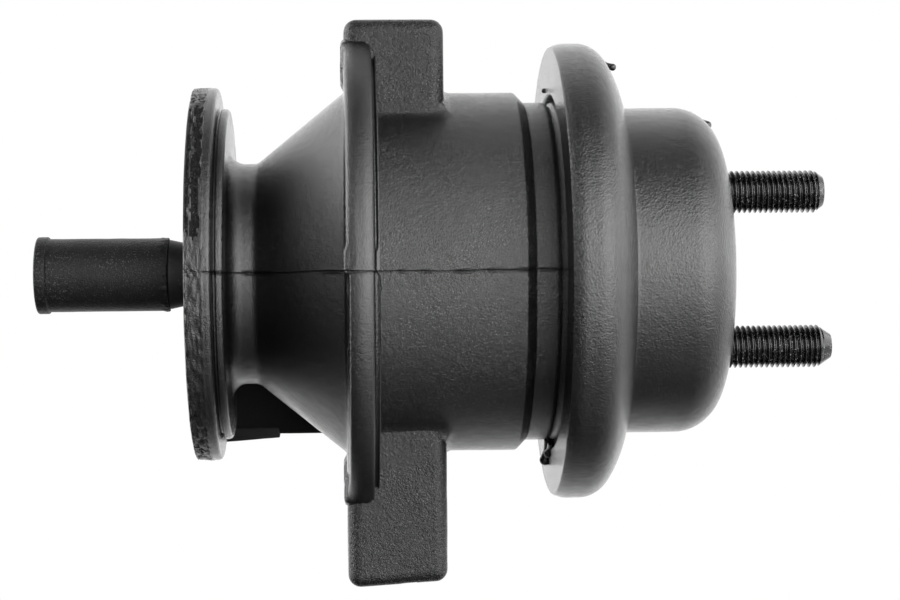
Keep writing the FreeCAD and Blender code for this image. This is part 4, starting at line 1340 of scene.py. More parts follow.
@dataclass
class BracketCasting:
    """Cast bracket: barrel, ears and rear leg."""

    bore: float = 34.0
    flange_radius: float = 50.4
    flange_base: float = 34.2
    flange_top: float = 36.9
    neck_radius: float = 39.3
    barrel_radius: float = 41.6
    neck_end: float = 45.2
    barrel_start: float = 47.4
    upper_base: float = 80.6
    upper_top: float = 84.9
    upper_radius: float = 51.6
    cone_top: float = 38.0
    cone_base: float = 66.0
    line_height: float = 39.5
    line_depth: float = 1.0
    line_width: float = 0.55
    foot_round: float = 2.0
    broad: Waves = Waves(10.0, 0.07, 61)
    fine: Waves = Waves(2.2, 0.014, 67)
    seam: PartingLine = PartingLine()
    short_ear: Ear = Ear(root=35.9, tip=56.5, hole=49.0)
    long_ear: Ear = Ear(root=-35.9, tip=-70.5, hole=-61.0, slant=-1.3)

    def section(self) -> np.ndarray:
        """Draw the barrel's section.

        Returns:
            Radius and height of each point.
        """
        return Profile(step=0.62).trace((
            (self.bore, self.flange_base, 0.0, 8.0),
            (self.flange_radius, self.flange_base, 0.0, 8.0),
            (self.flange_radius, self.flange_top, 0.0, 3.0),
            (self.neck_radius, self.flange_top, 1.2, 1.5),
            (self.neck_radius, self.neck_end, 0.5, 0.0),
            (self.barrel_radius, self.barrel_start, 0.7, 0.0),
            (self.barrel_radius, self.upper_base, 1.5, 0.0),
            (self.upper_radius, self.upper_base, 0.0, 3.0),
            (self.upper_radius, self.upper_top, 0.0, 3.0),
            (self.cone_top, self.upper_top, 0.0, 8.0),
            (self.bore, self.cone_base, 0.0, 8.0))).points(closed=True)

    def relief(self, surface: Surface) -> np.ndarray:
        """Unevenness of the cast barrel, its seam and its fillets against the ears.

        Args:
            surface: the barrel's surface.

        Returns:
            Distance outwards for each place.
        """
        outside = smooth_ramp(surface.radius, self.neck_radius - 1.2, self.neck_radius - 0.4)
        height = outside * (self.broad.at(surface.points) + self.fine.at(surface.points))
        on_wall = outside * (surface.radius < self.barrel_radius + 0.5)
        line = bell(surface.height - self.line_height, self.line_width)
        height -= on_wall * self.line_depth * line
        height += self.seam.field(surface, on_wall * (surface.height > self.flange_top + 0.5))
        for ear in (self.short_ear, self.long_ear):
            height += on_wall * self._ear_fillet(surface, ear)
        return height

    def _ear_fillet(self, surface: Surface, ear: Ear) -> np.ndarray:
        """Fillet round the foot of an ear.

        Args:
            surface: the barrel's surface.
            ear: the ear.

        Returns:
            Distance outwards for each place.
        """
        outward = surface.points[:, 0] * math.copysign(1.0, ear.tip)
        across = np.maximum(abs(ear.root) - outward, 0.0)
        below = np.maximum(ear.base - surface.height, 0.0)
        reach = np.clip(self.foot_round - np.hypot(across, below), 0.0, self.foot_round)
        return fillet(reach, self.foot_round)

    def build(self, materials: Sequence[bpy.types.Material], leg: "RearLeg") -> None:
        """Make the piece.

        Args:
            materials: finishes of the barrel, the ears and the leg, whose dull finish paints its
                shade.
            leg: the rear leg.
        """
        edge = math.degrees(math.acos(abs(self.short_ear.root) / self.barrel_radius))
        finer = self.seam.columns()
        finer += [(angle, 2.6, 13) for angle in (edge, -edge, 180.0 - edge, edge - 180.0)]
        shells = [Shell(*lathe(self.section(), columns(288, finer), True, self.relief))]
        shells += [Shell(*ear.shell(), finish=1) for ear in (self.short_ear, self.long_ear)]
        # The rear leg takes the dull finish that paints its shade.
        shells += [Shell(*skin, finish=2) for skin in (leg.post(), leg.root())]
        make_piece("bracket_casting", shells, materials, ["housing"])


@dataclass(frozen=True)
class RearLeg:
    """Leg behind the long ear: a post with a bevelled, drafted boss, rooted on the barrel."""

    inner: float = -22.0
    outer: float = -40.5
    front: float = 40.0
    back: float = 55.0
    base: float = 64.1
    top: float = 120.0
    boss_start: float = 103.5
    boss_reach: float = -42.0
    boss_end: float = -43.2
    bevel: float = 4.5
    bevel_depth: float = 8.0
    rounding: float = 2.0
    least_round: float = 0.5
    bevel_round: float = 0.25
    swell: Waves = Waves(6.0, 0.10, 71, 3)
    root_front: float = 15.0
    root_top: float = 84.9
    root_sunk: float = 0.4
    root_round: float = 0.8
    root_inner: float = 3.0
    around: int = 96
    round_rings: int = 5
    ring_step: float = 0.9

    def _outer_at(self, height: float) -> float:
        """Far side of the post.

        Args:
            height: where on the post.

        Returns:
            Its place along the mount's X axis.
        """
        if height < self.boss_start:
            return self.outer
        share = (height - self.boss_start) / (self.top - self.boss_start)
        return self.boss_reach + (self.boss_end - self.boss_reach) * share

    def _level(self, height: float, inset: float = 0.0) -> np.ndarray:
        """A level ring of the post.

        Args:
            height: its height.
            inset: distance inside the full outline.

        Returns:
            Places of the ring.
        """
        low, high = self._outer_at(height) + inset, self.inner - inset
        near, far = self.front + inset, self.back - inset
        rounding = max(self.rounding - inset, self.least_round)
        bevelled = height >= self.boss_start
        corners = [(high, near), (high, far), (low, far)]
        if bevelled:
            bevel_end = self.boss_end + self.bevel + inset
            corners += [(low, near + self.bevel_depth), (bevel_end, near)]
        else:
            corners.append((low, near))
        outline = Profile()
        for across, depth in corners:
            on_bevel = bevelled and across < self.inner - 2 and depth < far
            outline.to(across, depth, self.bevel_round if on_bevel else rounding)
        middle = ((self.outer + self.inner) / 2, (self.front + self.back) / 2)
        ring = even_ring(outline.points(closed=True), middle, self.around)
        return np.column_stack([ring, np.full(self.around, height)])

    def post(self) -> Skin:
        """Skin of the post with its boss.

        Returns:
            Corner places and four-cornered faces.
        """
        middle = np.array([(self.outer + self.inner) / 2, (self.front + self.back) / 2, 0.0])
        rounding, start = self.rounding, self.boss_start
        quarter = quarter_turn(self.round_rings)
        heights = list(np.arange(self.base + rounding + 0.8, start - 0.5, self.ring_step))
        heights += [start - 0.25, start, start + 0.12, start + 0.4]
        heights += list(np.arange(start + 1.0, self.top - rounding, self.ring_step))
        rings = [np.tile(middle + np.array([0.0, 0.0, self.base]), (self.around, 1))]
        rings += [self._level(self.base + rounding * (1 - cosine), rounding * (1 - sine))
                  for sine, cosine in quarter]
        rings += [self._level(height) for height in heights]
        rings += [self._level(self.top - rounding * (1 - sine), rounding * (1 - cosine))
                  for sine, cosine in quarter]
        rings.append(np.tile(middle + np.array([0.0, 0.0, self.top]), (self.around, 1)))
        points, faces = loft(rings)
        away = points - middle
        away[:, 2] = 0.0
        length = np.maximum(np.linalg.norm(away, axis=1, keepdims=True), ON_AXIS)
        points += away / length * np.minimum(self.swell.at(points), 0.0)[:, None]
        return points, faces

    def root(self) -> Skin:
        """Skin of the block that joins the post to the barrel.

        Returns:
            Corner places and four-cornered faces.
        """
        low, high = self.outer + self.rounding, self.inner - self.root_sunk
        near, far = self.root_front, self.back - self.rounding
        corners = np.array([(low, near), (high, near), (high, far), (low, far)])
        centre = corners.mean(axis=0)
        base, top = self.base + self.rounding, self.root_top
        rings = [np.tile([*centre, base], (4, 1))]
        for height, inset in (
                (base, self.root_inner), (base, self.root_round), (base + self.root_round, 0.0),
                (top - self.root_round, 0.0), (top, self.root_round), (top, self.root_inner)):
            half = np.abs(corners - centre) - inset
            ring = centre + np.sign(corners - centre) * half
            rings.append(np.column_stack([ring, np.full(4, height)]))
        rings.append(np.tile([*centre, top], (4, 1)))
        return loft(rings)


# ---------------------------------------------------------------- cover, pin and studs

@dataclass(frozen=True)
class Drop:
    """A hardened drop of coating on a short neck."""

    place: tuple[float, float, float]
    out: tuple[float, float, float]
    radius: float
    length: float
    sunk: float = 0.8
    foot: float = 0.9
    neck: float = 0.55
    neck_height: float = 0.45
    neck_round: float = 0.2
    around: int = 20

    def shell(self) -> Skin:
        """Skin of the drop.

        Returns:
            Corner places and four-cornered faces.
        """
        tip = self.length - self.radius
        outline = Profile(step=0.3).to(0.0, -self.sunk).to(self.radius * self.foot, -self.sunk)
        outline.to(self.radius * self.neck, tip * self.neck_height, self.neck_round)
        outline.arc((0.0, tip), self.radius, -30.0, 90.0)
        points, faces = lathe(outline.points(closed=False), columns(self.around), False)
        turn = Vector(self.out).to_track_quat("Z", "Y").to_matrix()
        return points @ np.array(turn).T + np.array(self.place), faces


@dataclass
class PressedCover:
    """Deep-drawn cover with its two-arc shoulder, ring and crimped lip."""

    cup_radius: float = 37.9
    cup_round: float = 10.0
    inner_round: float = 8.0
    wall: float = 2.0
    shoulder_base: float = 23.4
    shoulder_top: float = 33.0
    shoulder_start: float = -88.6
    rim_round: float = 7.0
    ring_radius: float = 52.9
    ring_top: float = 38.9
    lip_under: float = 36.9
    edge_round: float = 0.5
    edge_reach: float = 0.85
    crown_start: float = 35.5
    crown_turn: float = 23.0
    crimp_bore: float = 41.0
    broad: Waves = Waves(12.0, 0.05, 81)
    fine: Waves = Waves(3.5, 0.02, 83)

    # Runs of the coat: their reach round the ring, thickness, and height and width of both lines.
    sag_middle: float = -42.0
    sag_ends: tuple[float, float] = (52.0, 34.0)
    sag_level: float = 0.55
    sag_swell: Waves = Waves(4.0, 0.45, 87)
    run_below: float = 6.2
    run_slope: float = 0.075
    run_turn: float = 30.0
    run: tuple[float, float] = (0.30, 0.45)
    low_run: tuple[float, float] = (0.42, 0.7)

    drops: tuple[Drop, ...] = (
        Drop(place=(48.7, -0.5, 26.0), out=(-0.42, -0.1, -0.90), radius=0.85, length=3.6),
        Drop(place=(36.0, -0.5, 4.9), out=(-0.50, -0.05, -0.86), radius=1.0, length=5.2),
        Drop(place=(-40.2, 3.0, 39.0), out=(-0.83, 0.45, 0.10), radius=1.3, length=6.5),
        Drop(place=(-40.6, -2.0, 38.9), out=(-0.62, 0.74, 0.12), radius=1.0, length=4.4),
        Drop(place=(42.5, 5.0, 38.6), out=(0.20, 0.50, 0.60), radius=0.6, length=1.2))

    def section(self) -> np.ndarray:
        """Draw the sheet's section, outside and inside.

        Returns:
            Radius and height of each point.
        """
        rise = self.shoulder_top - self.shoulder_base
        width = self.ring_radius - self.cup_radius
        rim = self.rim_round
        flat = (rise ** 2 + width ** 2 - 2 * width * rim) / (2 * (rise - rim))
        rim_centre = (self.ring_radius - rim, self.shoulder_top)
        flat_centre = (self.cup_radius, self.shoulder_base + flat)
        lean = math.degrees(math.atan2(rim_centre[1] - flat_centre[1],
                                       rim_centre[0] - flat_centre[0]))
        inside = self.ring_radius - self.wall
        outline = Profile(step=0.62).to(0.0, 0.0).to(self.cup_radius, 0.0, self.cup_round)
        outline.to(self.cup_radius, self.shoulder_base - 0.5)
        outline.to(self.cup_radius + 0.12, self.shoulder_base - 0.1, 0.0, 0.3)
        outline.arc(flat_centre, flat, self.shoulder_start, lean)
        outline.arc(rim_centre, rim, lean, 0.0)
        outline.arc((rim_centre[0], self.crown_start), rim, 0.0, self.crown_turn)
        return outline.trace((
            (self.ring_radius - self.edge_reach, self.ring_top, self.edge_round, 0.3),
            (self.crimp_bore, self.ring_top, 0.7, 0.0),
            (self.crimp_bore, self.lip_under, 0.0, 1.0),
            (inside, self.lip_under, 0.5, 6.0),
            (inside, self.shoulder_top, 3.0, 4.0),
            (self.cup_radius, self.shoulder_base + self.wall, 0.0, 4.0),
            (self.cup_radius - self.wall, self.shoulder_base, 0.0, 4.0),
            (self.cup_radius - self.wall, self.wall, self.inner_round, 4.0),
            (0.0, self.wall, 0.0, 6.0))).points(closed=False)

    def relief(self, surface: Surface) -> np.ndarray:
        """Slow waves of the drawn sheet and of its thick coat.

        Args:
            surface: the cover's surface.

        Returns:
            Distance outwards for each place.
        """
        shown = smooth_ramp(surface.radius, 30.0, 33.0)
        height = self.broad.at(surface.points) + self.fine.at(surface.points)
        return shown * (height + self._sags(surface))

    def _sags(self, surface: Surface) -> np.ndarray:
        """Runs of the coat that gathered along the ring's shoulder on the long ear's side.

        Args:
            surface: the cover's surface.

        Returns:
            Distance outwards for each place.
        """
        around = turn_back(surface.angle - 180.0)
        thick = self.sag_level + self.sag_swell.at(surface.points)
        line = self.shoulder_top - self.run_below
        line = line + self.run_slope * np.abs(around + self.run_turn)
        shown = smooth_ramp(np.abs(around - self.sag_middle), *self.sag_ends)
        outer = (surface.radius > self.cup_radius + 0.5) * (surface.height < self.shoulder_top)
        ridge = self.run[0] * bell(surface.height - line, self.run[1])
        ridge += self.low_run[0] * bell(surface.height - self.shoulder_base - 1.0,
                                        self.low_run[1])
        return outer * shown * thick * ridge

    def build(self, material: bpy.types.Material) -> None:
        """Make the piece with the drops that its coat left.

        Args:
            material: its finish.
        """
        skins = [lathe(self.section(), columns(320), False, self.relief)]
        skins += [drop.shell() for drop in self.drops]
        make_piece("pressed_cover", [Shell(*skin) for skin in skins], [material],
                   ["bottom_cover"])


@dataclass
class InnerPin:
    """Steel pin with its tapered collar, and the sleeve moulded on it."""

    seat: float = 92.0
    core_radius: float = 7.0
    taper_start: float = 122.0
    collar_radius: float = 8.1
    collar_top: float = 127.1
    shank_radius: float = 6.6
    top: float = 156.5
    sleeve_radius: float = 8.45
    sleeve_collar_base: float = 154.5
    sleeve_collar_radius: float = 8.9
    sleeve_top: float = 157.3

    # Torn inner end and unevenness of the sleeve.
    torn_end: tuple[float, float] = (2.6, 0.8)
    torn: Waves = Waves(1.1, 0.30, 91, 3)
    torn_level: float = 0.05
    skin: Waves = Waves(3.0, 0.03, 93)

    def pin_section(self) -> np.ndarray:
        """Draw the steel pin's section.

        Returns:
            Radius and height of each point.
        """
        return Profile(step=0.5).trace((
            (0.0, self.seat, 0.0, 4.0), (self.core_radius, self.seat, 0.0, 4.0),
            (self.core_radius, self.taper_start, 0.0, 4.0),
            (self.collar_radius, self.collar_top, 0.4, 0.0),
            (self.shank_radius, self.collar_top, 0.0, 0.0),
            (self.shank_radius, self.top - 1.0, 0.0, 4.0),
            (self.shank_radius - 1.0, self.top, 0.3, 0.0),
            (0.0, self.top, 0.0, 2.0))).points(closed=False)

    def sleeve_section(self) -> np.ndarray:
        """Draw the sleeve's section.

        Returns:
            Radius and height of each point.
        """
        return Profile(step=0.4).trace((
            (self.shank_radius, self.collar_top, 0.0, 0.0),
            (self.sleeve_radius, self.collar_top, 0.25, 0.25),
            (self.sleeve_radius, self.sleeve_collar_base - 0.15, 0.1, 0.0),
            (self.sleeve_collar_radius, self.sleeve_collar_base + 0.3, 0.15, 0.2),
            (self.sleeve_collar_radius, self.sleeve_top, 0.5, 0.0),
            (self.shank_radius, self.sleeve_top, 0.3, 0.0),
            (self.shank_radius, self.collar_top, 0.0, 4.0))).points(closed=True)

    def ragged_end(self, surface: Surface) -> np.ndarray:
        """Torn skin at the sleeve's inner end and a faint unevenness along it.

        Args:
            surface: the sleeve's surface.

        Returns:
            Distance outwards for each place.
        """
        outside = surface.radius > self.sleeve_radius - 0.5
        end = smooth_ramp(surface.height - self.collar_top, *self.torn_end)
        torn = np.abs(self.torn.at(surface.points)) - self.torn_level
        flat_top = smooth_ramp(surface.height, self.sleeve_top - 0.1, self.sleeve_top - 0.8)
        return outside * (end * torn + self.skin.at(surface.points) * flat_top)

    def build(self, steel: bpy.types.Material, moulding: bpy.types.Material) -> None:
        """Make both pieces.

        Args:
            steel: finish of the pin.
            moulding: finish of the sleeve.
        """
        pin = lathe(self.pin_section(), columns(96), False)
        make_piece("tapered_pin", [Shell(*pin)], [steel], ["pin"])
        sleeve = lathe(self.sleeve_section(), columns(160), True, self.ragged_end)
        make_piece("sleeve_moulding", [Shell(*sleeve)], [moulding],
                   ["pin_sleeve"])


class ThreadTree:
    """Geometry Nodes tree that rolls a thread on a shank whose tip is cut to a cone."""

    INPUTS = {"Length": 0.026, "Radius": 0.005, "Pitch": 0.00125, "Depth": 0.00077,
              "Tip Length": 0.002, "Tip Radius": 0.0036, "Start": 0.0012}
    GRID = {"Size X": 1.0, "Size Y": 1.0, "Vertices X": 420, "Vertices Y": 61}
    FLANK = (0.14, 0.86)
    MERGE = 2e-6

    def __init__(self, material: bpy.types.Material) -> None:
        """Build the tree.

        Args:
            material: finish of the thread.
        """
        self.tree = bpy.data.node_groups.new("rolled_thread", "GeometryNodeTree")
        face = self.tree.interface
        face.new_socket("Geometry", in_out="OUTPUT", socket_type="NodeSocketGeometry")
        self.sockets: dict[str, str] = {}
        for name, value in self.INPUTS.items():
            socket = face.new_socket(name, in_out="INPUT", socket_type="NodeSocketFloat")
            socket.default_value = value
            self.sockets[name] = socket.identifier
        sketch = Sketch(self.tree)
        grid = sketch.node("GeometryNodeMeshGrid")
        for name, value in self.GRID.items():
            grid.inputs[name].default_value = value
        move = sketch.node("GeometryNodeSetPosition")
        sketch.join(grid.outputs["Mesh"], move.inputs["Geometry"])
        sketch.join(self._place(sketch), move.inputs["Position"])
        merge = sketch.node("GeometryNodeMergeByDistance")
        merge.inputs["Distance"].default_value = self.MERGE
        real = sketch.node("GeometryNodeRealizeInstances")
        paint = sketch.node("GeometryNodeSetMaterial")
        paint.inputs["Material"].default_value = material
        chain = (move, merge, real, paint, sketch.node("NodeGroupOutput"))
        for source, target in zip(chain, chain[1:]):
            sketch.join(source.outputs[0], target.inputs[0])

    def _place(self, sketch: Sketch) -> bpy.types.NodeSocket:
        """Roll the flat grid round the axis and cut the thread into it.

        Args:
            sketch: the tree's sketch.

        Returns:
            Each corner's place.
        """
        size = sketch.node("NodeGroupInput").outputs
        split = sketch.node("ShaderNodeSeparateXYZ")
        sketch.join(sketch.node("GeometryNodeInputPosition").outputs[0], split.inputs[0])
        along_share = sketch.math("ADD", split.outputs["X"], 0.5)
        round_share = sketch.math("ADD", split.outputs["Y"], 0.5)
        reach = sketch.math("ADD", size["Length"], size["Tip Radius"])
        along = sketch.product(along_share, reach)
        turns = sketch.math("ADD", sketch.math("DIVIDE", along, size["Pitch"]), round_share)
        saw = sketch.math("MULTIPLY_ADD", sketch.math("FRACT", turns), 2.0, -1.0)
        ridge = sketch.math("SUBTRACT", 1.0, sketch.math("ABSOLUTE", saw))
        flank = sketch.spread(ridge, self.FLANK, (1.0, 0.0))
        fade = sketch.math("DIVIDE", along, size["Start"], clamp=True)
        cut = sketch.product(flank, size["Depth"], fade)
        threaded = sketch.math("SUBTRACT", size["Radius"], cut)
        left = sketch.math("SUBTRACT", size["Length"], along)
        drop = sketch.math("SUBTRACT", size["Radius"], size["Tip Radius"])
        slope = sketch.math("DIVIDE", drop, size["Tip Length"])
        cone = sketch.math("MULTIPLY_ADD", sketch.math("MAXIMUM", left, 0.0), slope,
                           size["Tip Radius"])
        cap = sketch.math("MAXIMUM", sketch.math("ADD", left, size["Tip Radius"]), 0.0)
        radius = sketch.math("MINIMUM", sketch.math("MINIMUM", threaded, cone), cap)
        angle = sketch.product(round_share, FULL_TURN)
        down = sketch.product(sketch.math("MINIMUM", along, size["Length"]), -1.0)
        place = sketch.node("ShaderNodeCombineXYZ")
        for name, value in (("X", sketch.product(radius, sketch.math("COSINE", angle))),
                            ("Y", sketch.product(radius, sketch.math("SINE", angle))),
                            ("Z", down)):
            sketch.join(value, place.inputs[name])
        return place.outputs[0]

    def shank(self, sizes: dict[str, float]) -> bpy.types.Mesh:
        """The thread as a plain mesh that runs down from the origin.

        Args:
            sizes: values of the tree's inputs in metres, by name.

        Returns:
            A new mesh.
        """
        seed = bpy.data.objects.new("thread_seed", bpy.data.meshes.new("thread_seed"))
        bpy.context.scene.collection.objects.link(seed)
        modifier = seed.modifiers.new("thread", "NODES")
        modifier.node_group = self.tree
        for name, value in sizes.items():
            modifier[self.sockets[name]] = value
        bpy.context.view_layer.update()
        graph = bpy.context.evaluated_depsgraph_get()
        mesh = bpy.data.meshes.new_from_object(seed.evaluated_get(graph))
        seed.modifiers.clear()
        bpy.data.objects.remove(seed)
        return mesh


@dataclass(frozen=True)
class Stud:
    """One of the two studs of the cover."""

    name: str
    node: str
    across: float
    length: float
    tip_length: float
    tip_radius: float
    radius: float = 5.0
    root_radius: float = 5.4
    root_reach: float = 0.3
    head_radius: float = 8.5
    head_round: float = 0.8
    seat: float = 5.0
    head_height: float = 4.0
    weld: float = 1e-6

    def build(self, thread: ThreadTree, material: bpy.types.Material) -> None:
        """Make the piece: a threaded shank with its head inside the cup.

        Args:
            thread: the tree that makes threads.
            material: the stud's finish.
        """
        mesh = thread.shank({"Length": self.length * MM, "Radius": self.radius * MM,
                             "Tip Length": self.tip_length * MM,
                             "Tip Radius": self.tip_radius * MM})
        mesh.transform(Matrix.Translation((self.across * MM, 0.0, 0.0)))
        head_top = self.seat + self.head_height
        outline = Profile(step=1.0).to(0.0, -self.root_reach)
        outline.to(self.root_radius, -self.root_reach, 0.1).to(self.root_radius, self.seat)
        outline.to(self.head_radius, self.seat).to(self.head_radius, head_top, self.head_round)
        outline.to(0.0, head_top)
        points, faces = lathe(outline.points(closed=False), columns(60), False,
                              centre=(self.across, 0.0))
        work = bmesh.new()
        work.from_mesh(mesh)
        corners = [work.verts.new(point) for point in points * MM]
        for face in faces:
            work.faces.new([corners[int(number)] for number in face])
        bmesh.ops.remove_doubles(work, verts=work.verts, dist=self.weld)
        bmesh.ops.holes_fill(work, edges=[edge for edge in work.edges if edge.is_boundary])
        bmesh.ops.recalc_face_normals(work, faces=work.faces)
        work.to_mesh(mesh)
        work.free()
        mesh.shade_smooth()
        dress_object(self.name, mesh, [material], [self.node])


STUDS = (
    Stud("threaded_stud_upper", "stud_upper", 18.2, 25.8, tip_length=2.0, tip_radius=3.6),
    Stud("threaded_stud_lower", "stud_lower", -18.2, 27.5, tip_length=3.2, tip_radius=2.9),
)


# ---------------------------------------------------------------- studio

@dataclass(frozen=True)
class SoftBox:
    """A rectangular studio lamp; its places and sizes are metres."""

    name: str
    place: tuple[float, float, float]
    target: tuple[float, float, float]
    size: tuple[float, float]
    radiance: float

    def build(self) -> None:
        """Hang the lamp."""
        data = bpy.data.lights.new(self.name, "AREA")
        data.shape = "RECTANGLE"
        data.size, data.size_y = self.size
        data.energy = self.radiance * math.pi * self.size[0] * self.size[1]
        lamp = bpy.data.objects.new(self.name, data)
        lamp.location = self.place
        ahead = Vector(self.target) - Vector(self.place)
        lamp.rotation_euler = ahead.to_track_quat("-Z", "Y").to_euler()
        lamp.visible_camera = False
        bpy.context.scene.collection.objects.link(lamp)


@dataclass(frozen=True)
class TentOpening:
    """A bright opening in the tent's wall, with soft edges."""

    radiance: float
    opens: tuple[float, float]
    closes: tuple[float, float]
    low: tuple[float, float]
    high: tuple[float, float]

    def mask(self, sketch: Sketch, sideways: bpy.types.NodeSocket,
             upward: bpy.types.NodeSocket) -> bpy.types.NodeSocket:
        """Where the opening is.

        Args:
            sketch: the world's sketch.
            sideways: angle from the camera towards the studs, in radians.
            upward: the direction's share towards the short ear.

        Returns:
            1 inside the opening and 0 outside it.
        """
        first, second = (tuple(math.radians(angle) for angle in edge)
                         for edge in (self.opens, self.closes))
        across = sketch.product(sketch.spread(sideways, first),
                                sketch.spread(sideways, second, (1.0, 0.0)))
        along = sketch.product(sketch.spread(upward, self.low),
                               sketch.spread(upward, self.high, (1.0, 0.0)))
        return sketch.product(across, along)


@dataclass
class Studio:
    """Camera, lamps, white tent and floor; its lengths are metres."""

    lens: float = 82.8
    sensor: float = 36.0
    clip: tuple[float, float] = (0.01, 20.0)
    distance: float = 0.4829
    foot: float = 0.08768
    yaw: float = 3.04
    pitch: float = 0.775
    roll: float = -0.52
    floor_level: float = -0.20
    floor_reach: float = 0.14
    floor_colour: tuple[float, float, float, float] = (0.88, 0.88, 0.88, 1.0)
    floor_roughness: float = 0.7
    side_box: SoftBox = SoftBox("side_softbox", (0.038, 0.02, -0.19), (0.038, 0.02, 0.0),
                                (0.122, 0.24), 2.6)
    side_start: float = 0.55
    side_full: float = 0.80
    left_range: tuple[float, float] = (-0.10, 0.50)
    left_radiance: tuple[float, float] = (0.3, 5.0)
    right_radiance: float = 1.3
    shade: float = 0.07
    shade_edge: tuple[float, float] = (-14.0, -5.0)
    behind: tuple[float, float] = (0.05, -0.05)
    window: TentOpening = TentOpening(6.0, (7.0, 10.0), (70.0, 84.0), (-0.20, -0.12), (0.60, 0.66))
    strip: TentOpening = TentOpening(13.0, (-116.0, -112.0), (-96.0, -92.0), (-0.34, -0.10),
                                     (0.40, 0.62))
    highest: float = 6.0
    # Angle round the mount's axis from the camera's side, and brightness there.
    bands: tuple[tuple[float, float], ...] = (
        (-180.0, 1.6), (-143.0, 1.2), (-126.0, 0.2), (-118.0, 0.0), (-106.0, 0.0), (-92.0, 0.35),
        (-75.0, 0.7), (-59.0, 0.9), (-45.0, 0.9), (-31.0, 1.1), (-18.0, 2.7), (-6.0, 5.2),
        (8.0, 4.7), (22.0, 5.0), (34.0, 4.0), (46.0, 2.0), (56.0, 0.4), (70.0, 0.15),
        (98.0, 0.15), (108.0, 0.6), (118.0, 1.4), (150.0, 1.7), (180.0, 1.6))

    def build(self) -> None:
        """Set up everything that isn't the mount."""
        self._camera()
        self._world()
        self._floor()
        self.side_box.build()
        bpy.context.scene.view_settings.view_transform = "Standard"

    def _camera(self) -> None:
        """Set the view along +Y with the mount lying on its side."""
        data = bpy.data.cameras.new("camera")
        data.lens = self.lens
        data.sensor_width = self.sensor
        data.clip_start, data.clip_end = self.clip
        camera = bpy.data.objects.new("camera", data)
        yaw, pitch = math.radians(self.yaw), math.radians(self.pitch)
        ahead = Vector((-math.sin(pitch), math.cos(yaw), -math.sin(yaw))).normalized()
        right = ahead.cross(Vector((1.0, 0.0, 0.0))).normalized()
        up = right.cross(ahead).normalized()
        turn = Matrix((right, up, -ahead)).transposed()
        turn = turn @ Matrix.Rotation(math.radians(self.roll), 3, "Z")
        place = Matrix.Translation((0.0, -self.distance, self.foot))
        camera.matrix_world = place @ turn.to_4x4()
        bpy.context.scene.collection.objects.link(camera)
        bpy.context.scene.camera = camera

    def _world(self) -> None:
        """Hang the tent round the mount; the camera sees plain white."""
        world = bpy.data.worlds.new("studio")
        bpy.context.scene.world = world
        world.use_nodes = True
        world.node_tree.nodes.clear()
        sketch = Sketch(world.node_tree)
        tent, plain = (sketch.node("ShaderNodeBackground") for _ in range(2))
        sketch.join(self._tent_level(sketch), tent.inputs["Strength"])
        path = sketch.node("ShaderNodeLightPath")
        seen = sketch.math("MAXIMUM", path.outputs["Is Camera Ray"],
                           path.outputs["Is Transmission Ray"])
        mix = sketch.node("ShaderNodeMixShader")
        sketch.join(seen, mix.inputs["Fac"])
        for number, background in enumerate((tent, plain), start=1):
            background.inputs["Color"].default_value = (1.0, 1.0, 1.0, 1.0)
            sketch.join(background.outputs[0], mix.inputs[number])
        output = sketch.node("ShaderNodeOutputWorld")
        sketch.join(mix.outputs[0], output.inputs["Surface"])

    def _tent_level(self, sketch: Sketch) -> bpy.types.NodeSocket:
        """Brightness of the tent: bands round the mount's axis, its two ends and its openings.

        Args:
            sketch: the world's sketch.

        Returns:
            The level in each direction.
        """
        split = sketch.node("ShaderNodeSeparateXYZ")
        sketch.join(sketch.node("ShaderNodeTexCoord").outputs["Generated"], split.inputs[0])
        upward, lengthways = split.outputs["X"], split.outputs["Z"]
        toward_camera = sketch.product(split.outputs["Y"], -1.0)
        angle = sketch.math("ARCTAN2", upward, toward_camera)
        sideways = sketch.math("ARCTAN2", sketch.product(lengthways, -1.0), toward_camera)
        shade_edge = tuple(math.radians(edge) for edge in self.shade_edge)
        shaded = sketch.spread(sideways, shade_edge, (self.shade, 1.0))
        behind = sketch.spread(toward_camera, self.behind)
        left = sketch.spread(lengthways, (self.side_start, self.side_full))
        right = sketch.spread(lengthways, (-self.side_start, -self.side_full))
        middle = sketch.math("SUBTRACT", sketch.math("SUBTRACT", 1.0, left), right)
        level = sketch.product(self._walls(sketch, angle),
                               sketch.math("MAXIMUM", shaded, behind), middle)
        parts = [(left, sketch.spread(upward, self.left_range, self.left_radiance)),
                 (right, self.right_radiance)]
        parts += [(opening.mask(sketch, sideways, upward), opening.radiance)
                  for opening in (self.window, self.strip)]
        for mask, radiance in parts:
            level = sketch.math("MULTIPLY_ADD", mask, radiance, level)
        return level

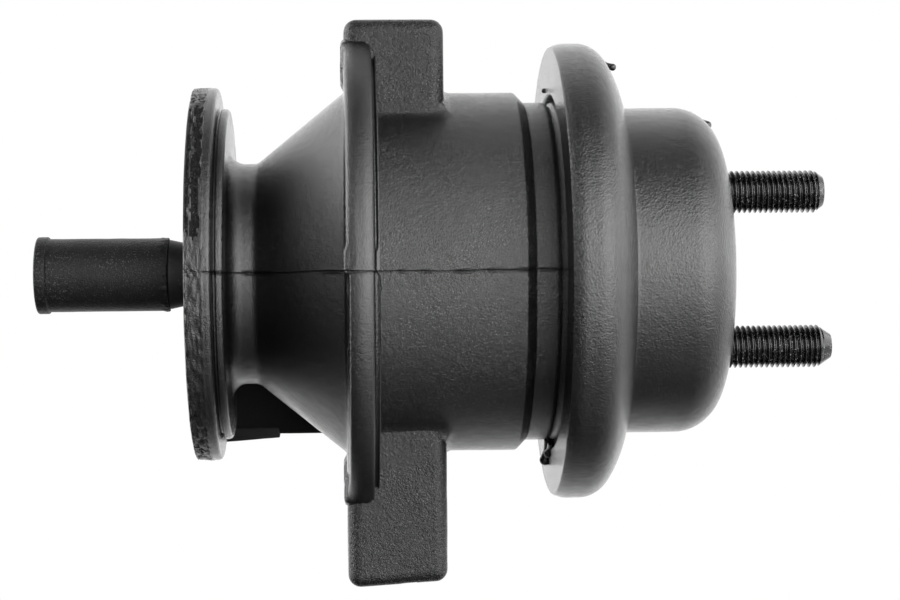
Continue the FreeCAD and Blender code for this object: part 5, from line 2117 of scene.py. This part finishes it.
    def _walls(self, sketch: Sketch, angle: bpy.types.NodeSocket) -> bpy.types.NodeSocket:
        """Brightness of the walls by their angle round the mount's axis.

        Args:
            sketch: the world's sketch.
            angle: the angle in radians.

        Returns:
            The level.
        """
        ramp = sketch.node("ShaderNodeValToRGB")
        sketch.join(sketch.spread(angle, (-math.pi, math.pi)), ramp.inputs["Fac"])
        stops = ramp.color_ramp.elements
        for number, (degrees, radiance) in enumerate(self.bands):
            place = (degrees + 180.0) / 360.0
            stop = stops[number] if number < 2 else stops.new(place)
            stop.position = place
            stop.color = (*[radiance / self.highest] * 3, 1.0)
        return sketch.product(ramp.outputs["Color"], self.highest)

    def _floor(self) -> None:
        """Lay the pale floor below the studs."""
        mesh = bpy.data.meshes.new("floor")
        corners = [(x * self.floor_reach, y * self.floor_reach, self.floor_level)
                   for x, y in ((-1, -1), (1, -1), (1, 1), (-1, 1))]
        mesh.from_pydata(corners, [], [(0, 1, 2, 3)])
        material = bpy.data.materials.new("floor")
        material.use_nodes = True
        shader = material.node_tree.nodes["Principled BSDF"]
        shader.inputs["Base Color"].default_value = self.floor_colour
        shader.inputs["Roughness"].default_value = self.floor_roughness
        mesh.materials.append(material)
        floor = bpy.data.objects.new("floor", mesh)
        bpy.context.scene.collection.objects.link(floor)


# ---------------------------------------------------------------- build

def dress_inner_nodes(effects: SurfaceEffects) -> None:
    """Give the CAD nodes inside the mount their finishes.

    Args:
        effects: the shared shader groups.
    """
    made: dict[str, bpy.types.Material] = {}
    for node, finish in INNER_FINISHES.items():
        if finish.name not in made:
            made[finish.name] = finish.build(effects)
        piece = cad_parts[node]
        piece.data.materials.clear()
        piece.data.materials.append(made[finish.name])
        LOG.info("%s: %s", node, finish.name)


def main() -> None:
    """Build the mount's visible pieces in order, then the studio."""
    logging.basicConfig(level=logging.INFO, format="%(name)s: %(message)s")
    effects = SurfaceEffects()
    RubberMoulding().build([finish.build(effects) for finish in (SPRING_RUBBER, TORN_RUBBER)])
    BracketCasting().build(
        [finish.build(effects) for finish in (BRACKET_PAINT, EAR_PAINT, LEG_PAINTED_SHADE)], RearLeg())
    PressedCover().build(COVER_PAINT.build(effects))
    InnerPin().build(PIN_STEEL.build(effects), SLEEVE_MOULDING.build(effects))
    stud_finish = STUD_STEEL.build(effects)
    thread = ThreadTree(stud_finish)
    for stud in STUDS:
        stud.build(thread, stud_finish)
    dress_inner_nodes(effects)
    Studio().build()


if __name__ == "__main__":
    main()
